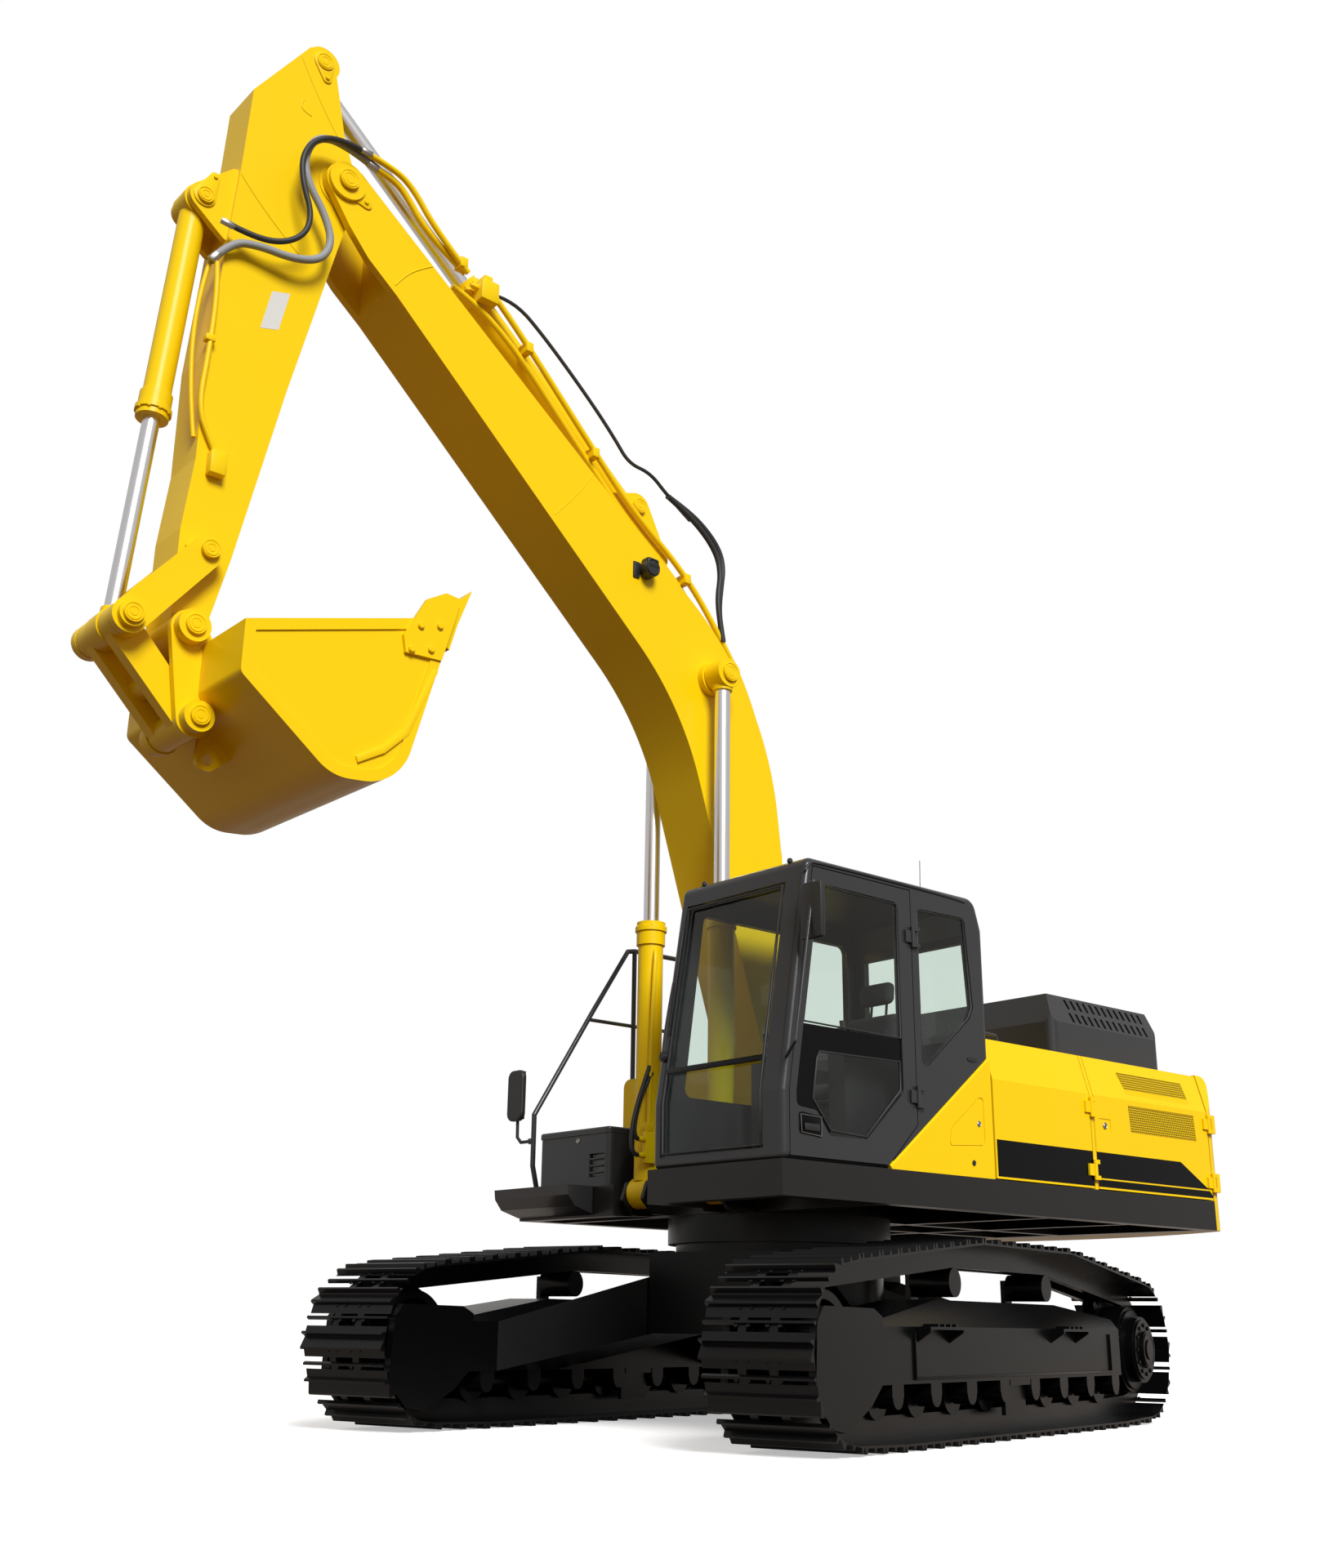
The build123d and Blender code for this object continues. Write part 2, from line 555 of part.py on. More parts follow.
with BuildPart() as engine_block:
    block((-2100, -1300), (-700, 700), (DECK_Z, 2150))
finish(engine_block, "engine_block", house_place)

# ---- house: covers -----------------------------------------------------------------------
LEFT_INNER = 560.0
POST_HALF = 15.0
DOOR_BACK = HOUSE_HALF - COVER_LEAN - COVER_WALL - SEAM
COVER_SECTION = [(LEFT_INNER, DECK_Z), (HOUSE_HALF, DECK_Z), (HOUSE_HALF, COVER_CREASE),
                 (HOUSE_HALF - COVER_LEAN, COVER_TOP),
                 (LEFT_INNER, COVER_TOP)]
with BuildPart() as left_cover_frame:
    block((COVER_END, CAB_REAR - 10), (LEFT_INNER, DOOR_BACK), (COVER_TOP - 40, COVER_TOP))
    for x in (COVER_END, CAB_REAR - 50):
        block((x, x + 40), (LEFT_INNER, DOOR_BACK), (DECK_Z, COVER_TOP - 40))
    bar(COVER_SECTION, COVER_MID - POST_HALF, COVER_MID + POST_HALF)
    for z in HINGE_HEIGHTS:
        hinge_bracket((COVER_MID + POST_HALF + 3, HINGE_Y, z), FORWARD, (0, 0, 1), 2 * POST_HALF)
finish(left_cover_frame, "left_cover_frame", house_place)


def side_door(x_rear, x_front, side):
    """A side door that leans in above the crease, on the left (1) or the right (-1)."""
    foot = DECK_Z + SEAM
    top = HOUSE_HALF - COVER_LEAN
    section = [
        (HOUSE_HALF, foot), (HOUSE_HALF, COVER_CREASE), (top, COVER_TOP), (top - COVER_WALL, COVER_TOP),
        (HOUSE_HALF - COVER_WALL, COVER_CREASE), (HOUSE_HALF - COVER_WALL, foot),
    ]
    bar([(side * y, z) for y, z in section], x_rear, x_front)


with BuildPart() as left_middle_door:
    side_door(COVER_MID + POST_HALF + SEAM, CAB_REAR - 10 - SEAM, 1)
    for z in HINGE_HEIGHTS:
        hinge_leaf((COVER_MID + POST_HALF + 3, HINGE_Y, z), FORWARD, (0, 0, 1))
finish(left_middle_door, "left_middle_door", house_place)

# Sunk grille fields on the rear door: lower edge and upper edge height, rear and front X below, rear and front X above.
GRILLES = [
    (1758, 1925, -2395, -1660, -2380, -1645),
    (1995, 2140, -2360, -1650, -2325, -1605),
]
GRILLE_DEPTH = 6.0
with BuildPart() as left_rear_door:
    side_door(COVER_END + SEAM, COVER_MID - POST_HALF - SEAM, 1)
    for z in HINGE_HEIGHTS:
        hinge_leaf((COVER_END + 3, HINGE_Y, z), FORWARD, (0, 0, 1))
    lean = math.degrees(math.atan2(COVER_LEAN, COVER_TOP - COVER_CREASE))
    for (low, high, rear, front, rear_top, front_top), tilt in zip(GRILLES, (0, lean)):
        field = Plane(origin=(0, HOUSE_HALF, COVER_CREASE), x_dir=(-1, 0, 0),
                      z_dir=(0, 1, 0)).rotated((-tilt, 0, 0))
        with BuildSketch(field) as grille_face:
            with BuildLine():
                Polyline((-rear, low - COVER_CREASE), (-front, low - COVER_CREASE),
                         (-front_top, high - COVER_CREASE),
                         (-rear_top, high - COVER_CREASE), close=True)
            make_face()
        extrude(grille_face.sketch, amount=-GRILLE_DEPTH, mode=Mode.SUBTRACT)
    latch = (COVER_MID - 130, 1778)
    block((latch[0] - 60, latch[0] + 60), (HOUSE_HALF - 4, HOUSE_HALF + 1), (latch[1] - 42, latch[1] + 42),
          mode=Mode.SUBTRACT)
    disc(latch, 16, HOUSE_HALF - 5, HOUSE_HALF - 1)
finish(left_rear_door, "left_rear_door", house_place)

RIGHT_DOOR_FRONT = -1150.0
with BuildPart() as right_cover_frame:
    block((COVER_END, RIGHT_DOOR_FRONT), (-DOOR_BACK, -LEFT_INNER - 240), (COVER_TOP - 40, COVER_TOP))
    for x in (COVER_END, RIGHT_DOOR_FRONT - 40):
        block((x, x + 40), (-DOOR_BACK, -LEFT_INNER - 240), (DECK_Z, COVER_TOP - 40))
finish(right_cover_frame, "right_cover_frame", house_place)

with BuildPart() as right_rear_door:
    side_door(COVER_END + SEAM, RIGHT_DOOR_FRONT - SEAM, -1)
    for z in HINGE_HEIGHTS:
        hinge_leaf((COVER_END + 3, -HINGE_Y, z), FORWARD, (0, 0, -1))
finish(right_rear_door, "right_rear_door", house_place)

BOX_TOP = 1708.0
LID_WALL = 40.0
BOX_OUTER = -1300.0
LID_HINGES = (-1180.0, -720.0)
with BuildPart() as fuel_tank:
    block((-480, BOX_REAR - 10), (-HOUSE_HALF, RIGHT_INNER), (DECK_Z, COVER_TOP))
    fillet(fuel_tank.edges().filter_by(Axis.X).group_by(Axis.Z)[-1], radius=60)
    for y in LID_HINGES:
        hinge_bracket((BOX_REAR - 10 + 20, y, BOX_TOP + LID_WALL + HINGE_STAND + 2), FORWARD, (0, -1, 0), 20)
finish(fuel_tank, "fuel_tank", house_place)

with BuildPart() as oil_tank:
    block((RIGHT_DOOR_FRONT + SEAM, -490), (-HOUSE_HALF, RIGHT_INNER), (DECK_Z, COVER_TOP))
    fillet(oil_tank.edges().filter_by(Axis.X).group_by(Axis.Z)[-1], radius=60)
finish(oil_tank, "oil_tank", house_place)

with BuildPart() as centre_cover:
    block((HOOD_FRONT, -760), (RIGHT_INNER + SEAM, LEFT_INNER - SEAM), (DECK_Z, 2000))
finish(centre_cover, "centre_cover", house_place)

with BuildPart() as swing_motor:
    with BuildSketch(Plane.XY.offset(DECK_Z)) as motor_face:
        with Locations((-420, 0)):
            Circle(170)
    extrude(motor_face.sketch, amount=420)
finish(swing_motor, "swing_motor", house_place)

BOX_FACE = BOX_FRONT - SEAM
LAMP = ((-773.0, -620.0), (1443.0, 1588.0))     # lamp recess in the box's front: Y and Z
with BuildPart() as storage_box:
    block((BOX_REAR, BOX_FACE), (BOX_OUTER, RIGHT_INNER - 60), (DECK_Z, BOX_TOP))
    block((BOX_REAR + 30, BOX_FACE - 60), (BOX_OUTER + 30, RIGHT_INNER - 90), (DECK_Z + 30, BOX_TOP + 1),
          mode=Mode.SUBTRACT)
    fillet(storage_box.edges().filter_by(Axis.Z).group_by(Axis.X)[-1], radius=35)
    block((BOX_FACE - 30, BOX_FACE + 1), *LAMP, mode=Mode.SUBTRACT)
finish(storage_box, "storage_box", house_place)

with BuildPart() as work_lamp:
    block((BOX_FACE - 30 + SEAT, BOX_FACE - 16), (LAMP[0][0] + SEAM, LAMP[0][1] - SEAM),
          (LAMP[1][0] + SEAM, LAMP[1][1] - SEAM))
finish(work_lamp, "work_lamp", house_place)

with BuildPart() as box_lid:
    slab([(BOX_REAR + 13, BOX_OUTER - 6), (BOX_FRONT, BOX_OUTER - 6), (BOX_FRONT, RIGHT_INNER - 60),
          (BOX_REAR + 13, RIGHT_INNER - 60)],
         BOX_TOP + 2, BOX_TOP + 2 + LID_WALL)
    fillet(box_lid.edges().filter_by(Axis.Z).group_by(Axis.X)[-1], radius=35)
    fillet(box_lid.faces().sort_by(Axis.Z)[-1].edges().group_by(Axis.X)[-1], radius=15)
    for y in LID_HINGES:
        hinge_leaf((BOX_REAR + 10, y, BOX_TOP + 2 + LID_WALL + HINGE_STAND), FORWARD, (0, -1, 0))
finish(box_lid, "box_lid", house_place)

HOOD_PROFILE = [
    (HOOD_REAR, COVER_TOP + SEAM), (HOOD_FRONT, COVER_TOP + SEAM), (HOOD_FRONT, HOOD_SHOULDER),
    (HOOD_FRONT - 55, HOOD_TOP),
    (HOOD_REAR + 35, HOOD_TOP), (HOOD_REAR, HOOD_SHOULDER),
]
VENT_ROWS = (2496.0, 2588.0)
VENTS = 13
VENT_PITCH = 68.0


def hood_section(inset):
    """The hood's cross-section of (y, z) points, drawn in by an inset."""
    half = HOOD_HALF - inset
    return [
        (-half, COVER_TOP + SEAM - inset), (half, COVER_TOP + SEAM - inset), (half, HOOD_SHOULDER),
        (half - HOOD_LEAN, HOOD_TOP - inset), (HOOD_LEAN - half, HOOD_TOP - inset), (-half, HOOD_SHOULDER),
    ]


with BuildPart() as engine_hood:
    bar(hood_section(0), HOOD_REAR, HOOD_FRONT)
    plate(HOOD_PROFILE, -HOOD_HALF, HOOD_HALF, mode=Mode.INTERSECT)
    fillet(engine_hood.edges().filter_by(Axis.Z), radius=60)
    bar(hood_section(HOOD_WALL), HOOD_REAR + 60, HOOD_FRONT - 90, mode=Mode.SUBTRACT)
    block((COVER_END, HOOD_REAR + 30), (-HOOD_HALF + 60, HOOD_HALF - 60),
          (COVER_TOP + SEAM, COVER_TOP + SEAM + 22))
    for side in (-1, 1):
        low, high = sorted((side * (HOOD_HALF - HOOD_LEAN - 60), side * (HOOD_HALF + 1)))
        for z in VENT_ROWS:
            for index in range(VENTS):
                x = HOOD_FRONT - 225 - index * VENT_PITCH
                vent = [(x - 36, z - 32), (x - 10, z - 32), (x + 4, z + 32), (x - 22, z + 32)]
                plate(vent, low, high, mode=Mode.SUBTRACT)
    for y in HOOD_HINGES:
        hinge_leaf((COVER_END - HINGE_STAND, y, WEIGHT_TOP + 17), (0, 0, 1), (0, -1, 0))
finish(engine_hood, "engine_hood", house_place)

with BuildPart() as exhaust:
    rod((HOOD_FRONT + 110, -350, 2000), (HOOD_FRONT + 110, -350, HOOD_TOP + 110), 60)
finish(exhaust, "exhaust_stack", house_place)

RAIL_RADIUS = 17.0
RAIL_Y = BOX_OUTER - 130.0
RAIL_TOP = 3128.0
rail_route = [
    (822, DECK_Z + 4.5), (866, 1557), (867, 1890), (398, 2635), (85, RAIL_TOP - 12), (21, RAIL_TOP),
    (-420, RAIL_TOP), (-445, RAIL_TOP - 30),
    (-445, COVER_TOP + SEAT),
]
with BuildPart() as handrail:
    for start, end in zip(rail_route, rail_route[1:]):
        rod((start[0], RAIL_Y, start[1]), (end[0], RAIL_Y, end[1]), RAIL_RADIUS)
        if end != rail_route[-1]:
            with Locations((end[0], RAIL_Y, end[1])):
                Sphere(RAIL_RADIUS)
    rod((21, RAIL_Y, COVER_TOP + SEAT), (21, RAIL_Y, RAIL_TOP), RAIL_RADIUS)
    rod((426, RAIL_Y, 2583), (-445, RAIL_Y, 2583), RAIL_RADIUS - 4)
    rod((868, RAIL_Y, 1718), (868, RAIL_Y - 40, 1718), 20)
finish(handrail, "handrail", house_place)

MIRROR_Y = RAIL_Y - 170.0
with BuildPart() as mirror:
    arm_route = [(868, RAIL_Y - 40 - SEAT, 1718), (868, MIRROR_Y + 30, 1718), (877, MIRROR_Y, 1754),
                 (882, MIRROR_Y, 1980)]
    for start, end in zip(arm_route, arm_route[1:]):
        rod(start, end, 11)
        with Locations(end):
            Sphere(11)
    with BuildSketch(Plane.YZ.offset(882)) as mirror_face:
        with Locations((MIRROR_Y, 2028)):
            RectangleRounded(170, 340, 55)
    extrude(mirror_face.sketch, amount=34)
    fillet(mirror.faces().sort_by(Axis.X)[-1].edges(), radius=14)
    rod((858, MIRROR_Y, 2000), (884, MIRROR_Y, 2000), 26)
finish(mirror, "right_mirror", house_place)

STEP_INNER = -700.0
STEP_FRONT = 217.0         # the front step's reach ahead of the box
with BuildPart() as platform:
    profile = [
        (BOX_FRONT, DECK_Z), (BOX_FRONT + STEP_FRONT, DECK_Z), (BOX_FRONT + STEP_FRONT - 8, DECK_Z - 60),
        (BOX_FRONT + STEP_FRONT - 60, DECK_Z - 125), (BOX_FRONT, DECK_Z - 172),
    ]
    plate(profile, -HOUSE_HALF + 10, STEP_INNER)
    fillet(platform.edges().filter_by(Axis.Z), radius=30)
    block((BOX_FRONT + 12, BOX_FRONT + STEP_FRONT - 25), (-HOUSE_HALF + 35, STEP_INNER - 25),
          (DECK_Z - 10, DECK_Z + 1), mode=Mode.SUBTRACT)
    for x in range(5):
        place = BOX_FRONT + 40 + x * 32
        block((place, place + 6), (-HOUSE_HALF + 30, STEP_INNER - 20), (DECK_Z - 12, DECK_Z))
finish(platform, "front_step", house_place)

# ---- cab ---------------------------------------------------------------------------------
CAB_LEFT = HOUSE_HALF - 2
CAB_MIDDLE = (CAB_INNER + CAB_LEFT) / 2
CAB_HINGES = (1790.0, 2700.0)
CAB_SIDE = [(CAB_REAR, DECK_Z), (CAB_FRONT, DECK_Z), (CAB_FRONT, CAB_BEND), (ROOF_FRONT, CAB_ROOF),
            (CAB_REAR + 60, CAB_ROOF),
            (CAB_REAR, CAB_ROOF - 190)]
CAB_BENDS = [15, 25, 0, 60, 90, 90]
CAB_ROOM = [(CAB_REAR + 45, DECK_Z + 40), (CAB_FRONT - 45, DECK_Z + 40), (CAB_FRONT - 45, CAB_BEND - 10),
            (ROOF_FRONT - 35, CAB_ROOF - 60), (CAB_REAR + 90, CAB_ROOF - 60),
            (CAB_REAR + 45, CAB_ROOF - 200)]
FRONT_LEAN = (CAB_FRONT - ROOF_FRONT) / (CAB_ROOF - CAB_BEND)
DOOR_BOTTOM = DECK_Z + 20.0
DOOR_TOP = 2975.0


def front_edge(inset, z):
    """X of the cab's front, an inset behind it, at a height."""
    return CAB_FRONT - inset - FRONT_LEAN * max(z - CAB_BEND, 0)


def door_outline(gap):
    """The cab door's outline: its rear lower corner is cut off above the side panel."""
    return [
        (DOOR_REAR - gap, 1640 - gap / 2), (620 - gap, DOOR_BOTTOM - gap),
        (front_edge(53 - gap, 0), DOOR_BOTTOM - gap),
        (front_edge(53 - gap, 0), CAB_BEND), (front_edge(53 - gap, DOOR_TOP), DOOR_TOP + gap),
        (DOOR_REAR - gap, DOOR_TOP + gap),
    ]


DOOR_WINDOW = [
    (DOOR_REAR + 106, 1805), (790, 1526), (1077, 1523), (1171, 1647), (front_edge(103, 0), 1661),
    (front_edge(103, 0), CAB_BEND),
    (front_edge(108, 2890), 2890), (DOOR_REAR + 106, 2885),
]
DOOR_WINDOW_BENDS = [60, 40, 40, 40, 30, 40, 40, 40]
REAR_WINDOW = [(DOOR_REAR - 58, 2881), (-109, 2890), (-155, 2357), (-116, 2286), (DOOR_REAR - 58, 1932)]
RIGHT_WINDOW = [(-150, 1800), (1230, 1800), (1080, 2880), (-150, 2880)]
WINDSCREEN_Y = (520.0, 1340.0)
WINDSCREEN_Z = (1445.0, 2905.0)
REAR_GLASS_Y = (560.0, 1378.0)
REAR_GLASS_Z = (2200.0, 2780.0)
SERVICE_PANEL = [(CAB_REAR, 2086), (CAB_REAR, DECK_Z), (600, DECK_Z), (608, DECK_Z + 20)]
PANEL_HOLE = [(CAB_REAR - 1, 2095), (CAB_REAR - 1, DECK_Z - 1), (608, DECK_Z - 1), (616, DECK_Z + 20)]
PANEL_DEPTH = 38.0
PANEL_DOOR = [(117, 1536), (96, 1642), (-159, 1836), (-205, 1841), (-205, 1560)]

CAB_MIRROR_Y = HOUSE_HALF + 140.0
CAB_MIRROR_ARMS = [(1905.0, 60.0),
                   (2860.0, -20.0)]     # foot height on the cab's front corner, rise to the mirror's stem

with BuildPart() as cab_shell:
    plate(CAB_SIDE, CAB_INNER, CAB_LEFT, radius=CAB_BENDS)
    faces = cab_shell.faces().sort_by(Axis.Y)
    rims = faces[0].edges() + faces[-1].edges()
    fillet([rim for rim in rims if rim.center().Z > DECK_Z + 30], radius=40)
    plate(CAB_ROOM, CAB_INNER + CAB_WALL, CAB_LEFT - CAB_WALL, mode=Mode.SUBTRACT)
    plate(door_outline(SEAM), CAB_LEFT - CAB_WALL - 1, CAB_LEFT + 1, mode=Mode.SUBTRACT)
    plate(REAR_WINDOW, CAB_LEFT - CAB_WALL - 1, CAB_LEFT + 1, radius=35, mode=Mode.SUBTRACT)
    plate(RIGHT_WINDOW, CAB_INNER - 1, CAB_INNER + CAB_WALL + 1, radius=50, mode=Mode.SUBTRACT)
    block((1000, CAB_FRONT + 100), WINDSCREEN_Y, WINDSCREEN_Z, mode=Mode.SUBTRACT)
    block((CAB_REAR - 10, CAB_REAR + 90), REAR_GLASS_Y, REAR_GLASS_Z, mode=Mode.SUBTRACT)
    plate(PANEL_HOLE, CAB_LEFT - PANEL_DEPTH, CAB_LEFT + 1, mode=Mode.SUBTRACT)
    for z in CAB_HINGES:
        hinge_bracket((DOOR_REAR - SEAM / 2, CAB_LEFT + HINGE_STAND, z), FORWARD, (0, 0, 1), 45)
    ends = [(front_edge(-70, z), CAB_MIRROR_Y, z + rise) for z, rise in CAB_MIRROR_ARMS]
    for end, (z, _) in zip(ends, CAB_MIRROR_ARMS):
        rod((front_edge(22, z), CAB_LEFT - 22, z), end, 9)
        with Locations(end):
            Sphere(9)
    rod(*ends, 9)
    with BuildSketch(Plane.YZ.offset(ends[1][0] - 5)) as cab_mirror_face:
        with Locations((CAB_MIRROR_Y, ends[1][2] - 165)):
            RectangleRounded(150, 300, 40)
    extrude(cab_mirror_face.sketch, amount=34)
finish(cab_shell, "cab_shell", house_place)

with BuildPart() as service_panel:
    plate(SERVICE_PANEL, CAB_LEFT - PANEL_DEPTH + SEAT, HOUSE_HALF)
    fillet(service_panel.faces().sort_by(Axis.Y)[-1].edges().sort_by(SortBy.LENGTH)[-1], radius=14)
    plate(PANEL_DOOR, HOUSE_HALF - 5, HOUSE_HALF + 1, radius=22, mode=Mode.SUBTRACT)
    plate([(x * 0.94 - 4, 1700 + (z - 1700) * 0.93) for x, z in PANEL_DOOR], HOUSE_HALF - 6, HOUSE_HALF - 1,
          radius=20)
finish(service_panel, "service_panel", house_place)

with BuildPart() as cab_door:
    plate(door_outline(0), CAB_LEFT - CAB_WALL + 5, CAB_LEFT)
    plate(DOOR_WINDOW, CAB_LEFT - CAB_WALL, CAB_LEFT + 1, radius=DOOR_WINDOW_BENDS, mode=Mode.SUBTRACT)
    for z in CAB_HINGES:
        hinge_leaf((DOOR_REAR - SEAM / 2, CAB_LEFT + HINGE_STAND, z), FORWARD, (0, 0, 1))
finish(cab_door, "cab_door", house_place)

with BuildPart() as door_glass:
    plate(DOOR_WINDOW, CAB_LEFT - 20, CAB_LEFT - 10, radius=DOOR_WINDOW_BENDS)
finish(door_glass, "door_glass", house_place)

with BuildPart() as cab_glass:
    plate(REAR_WINDOW, CAB_LEFT - 20, CAB_LEFT - 10, radius=35)
    plate(RIGHT_WINDOW, CAB_INNER + 15, CAB_INNER + 25, radius=50)
    foot, top = WINDSCREEN_Z[0] + SEAT, WINDSCREEN_Z[1] - SEAT
    plate(
        [(front_edge(30, 0), foot), (front_edge(20, 0), foot), (front_edge(20, 0), CAB_BEND),
         (front_edge(20, top), top),
         (front_edge(30, top), top), (front_edge(30, 0), CAB_BEND)],
        WINDSCREEN_Y[0] + SEAT, WINDSCREEN_Y[1] - SEAT,
    )
    block((CAB_REAR + 15, CAB_REAR + 25), (REAR_GLASS_Y[0] + SEAT, REAR_GLASS_Y[1] - SEAT),
          (REAR_GLASS_Z[0] + SEAT, REAR_GLASS_Z[1] - SEAT))
finish(cab_glass, "cab_glass", house_place)

with BuildPart() as seat:
    block((150, 550), (CAB_MIDDLE - 200, CAB_MIDDLE + 200), (DECK_Z + 40, 1780))
    plate([(80, 1780), (620, 1780), (620, 1900), (250, 1890), (160, 2560), (40, 2560)], CAB_MIDDLE - 230,
          CAB_MIDDLE + 230,
          radius=30)
finish(seat, "seat", house_place)

with BuildPart() as consoles:
    for y in (CAB_MIDDLE - 310, CAB_MIDDLE + 310):
        block((250, 800), (y - 60, y + 60), (DECK_Z + 40, 2020))
        rod((720, y, 2020), (740, y, 2200), 18)
    for y in (CAB_MIDDLE - 85, CAB_MIDDLE + 85):
        rod((960, y, DECK_Z + 40), (960, y, 2050), 14)
finish(consoles, "consoles", house_place)

# ---- boom --------------------------------------------------------------------------------
BOOM_OUTLINE = [
    (-45, 1945), (284, 4566), (3590, 7040), (3795, 6870), (3640, 6650), (3500, 6490), (3292, 6326),
    (1028, 4312), (222, 1874),
]
BOOM_BENDS = [0, 1900, 0, 0, 0, 200, 0, 1800, 0]
BOOM_INSIDE = [(120, 2120), (325, 4540), (3220, 6705), (3180, 6270), (1000, 4330), (265, 2120)]
EAR_IN = ARM_BOSS_HALF + FORK_GAP
FORK_X = 3330.0

with BuildPart() as boom:
    with BuildSketch(Plane.XZ.offset(-BOOM_HALF)) as boom_side:
        with BuildLine():
            FilletPolyline(*BOOM_OUTLINE, radius=BOOM_BENDS, close=True)
        make_face()
        with Locations(BOOM_FOOT):
            Circle(140)
        with Locations(BOOM_TIP):
            Circle(127)
    extrude(boom_side.sketch, amount=2 * BOOM_HALF)
    plate(BOOM_INSIDE, -BOOM_HALF + BOOM_WALL, BOOM_HALF - BOOM_WALL, radius=40, mode=Mode.SUBTRACT)
    block((FORK_X, 4000), (-EAR_IN, EAR_IN), (6000, 7300), mode=Mode.SUBTRACT)
    disc(BOOM_FOOT, 120, -MAIN_BEAM_Y + STEP_GAP, MAIN_BEAM_Y - STEP_GAP)
    for side in (-1, 1):
        low, high = sorted((side * BOOM_HALF, side * (BOOM_CYLINDER_Y - EYE_HALF - STEP_GAP)))
        disc(BOOM_CYLINDER_ROD, 110, low, high)
        low, high = sorted((side * EAR_IN, side * (BOOM_HALF + 25)))
        disc(BOOM_TIP, 120, low, high)
        low, high = sorted((side * (ARM_BASE_HALF + STEP_GAP), side * (ARM_BASE_HALF + STEP_GAP + LUG_WALL)))
        link([(ARM_CYLINDER_BASE, 95), ((1150, 5330), 60), ((1700, 5560), 60)], low, high)
    for centre, half, radius in (
        (BOOM_TIP, BOOM_HALF + 30, PIN_RADIUS + SEAT),
        (ARM_CYLINDER_BASE, BOOM_HALF, PIN_RADIUS + SEAT),
        (BOOM_FOOT, MAIN_BEAM_Y, FOOT_PIN_RADIUS + SEAT),
    ):
        disc(centre, radius, -half, half, mode=Mode.SUBTRACT)
finish(boom, "boom", house_place)


def cylinder_barrel(base, rod_end, closed, radius, rod_radius, base_half, middle_y):
    """A hydraulic cylinder's barrel with its base eye and gland."""
    end = along(base, rod_end, closed)
    start = along(base, rod_end, EYE_RADIUS - 25)
    gland = along(base, rod_end, closed - 150)
    rod((start[0], middle_y, start[1]), (end[0], middle_y, end[1]), radius)
    rod((gland[0], middle_y, gland[1]), (end[0], middle_y, end[1]), radius + 12)
    disc(base, EYE_RADIUS, middle_y - base_half, middle_y + base_half)
    way = Vector(end[0] - base[0], 0, end[1] - base[1]).normalized()
    mouth = Plane(origin=(end[0], middle_y, end[1]), z_dir=-way)
    with BuildSketch(mouth) as bore:
        Circle(rod_radius + SEAT)
    extrude(bore.sketch, amount=closed - EYE_RADIUS - 60, mode=Mode.SUBTRACT)


def cylinder_rod(base, rod_end, closed, stroke_out, rod_radius, middle_y):
    """A cylinder rod with its eye; it reaches back into the barrel."""
    length = math.dist(base, rod_end)
    inner = along(base, rod_end, length - stroke_out)
    tip = along(base, rod_end, length - EYE_RADIUS + 30)
    rod((inner[0], middle_y, inner[1]), (tip[0], middle_y, tip[1]), rod_radius)
    disc(rod_end, EYE_RADIUS, middle_y - EYE_HALF, middle_y + EYE_HALF)


# Cylinders: name, base pin, rod pin, base pin to gland, rod length, barrel and rod radius, base eye half width, Y.
CYLINDERS = [
    ("boom", BOOM_CYLINDER_BASE, BOOM_CYLINDER_ROD, 1690.0, 1650.0, BOOM_BARREL_RADIUS, BOOM_ROD_RADIUS,
     BOOM_BASE_HALF, (-BOOM_CYLINDER_Y, BOOM_CYLINDER_Y)),
    ("arm", ARM_CYLINDER_BASE, ARM_CYLINDER_ROD, 1780.0, 1700.0, ARM_BARREL_RADIUS, ARM_ROD_RADIUS,
     ARM_BASE_HALF, (0.0,)),
    ("bucket", BUCKET_CYLINDER_BASE, LINK_PIN, 1390.0, 1330.0, BUCKET_BARREL_RADIUS, BUCKET_ROD_RADIUS,
     BUCKET_BASE_HALF, (0.0,)),
]
for name, base, rod_end, closed, rod_length, barrel_radius, rod_radius, base_half, places in CYLINDERS:
    with BuildPart() as barrel:
        for y in places:
            cylinder_barrel(base, rod_end, closed, barrel_radius, rod_radius, base_half, y)
            if name == "boom":
                disc(base, PIN_RADIUS + SEAT, y - base_half, y + base_half, mode=Mode.SUBTRACT)
            else:
                disc(base, PIN_RADIUS, y - base_half - STEP_GAP - LUG_WALL - 8,
                     y + base_half + STEP_GAP + LUG_WALL + 8)
    finish(barrel, f"{name}_cylinder_barrel", house_place)
    with BuildPart() as piston_rod:
        for y in places:
            cylinder_rod(base, rod_end, closed, rod_length, rod_radius, y)
    finish(piston_rod, f"{name}_cylinder_rod", house_place)

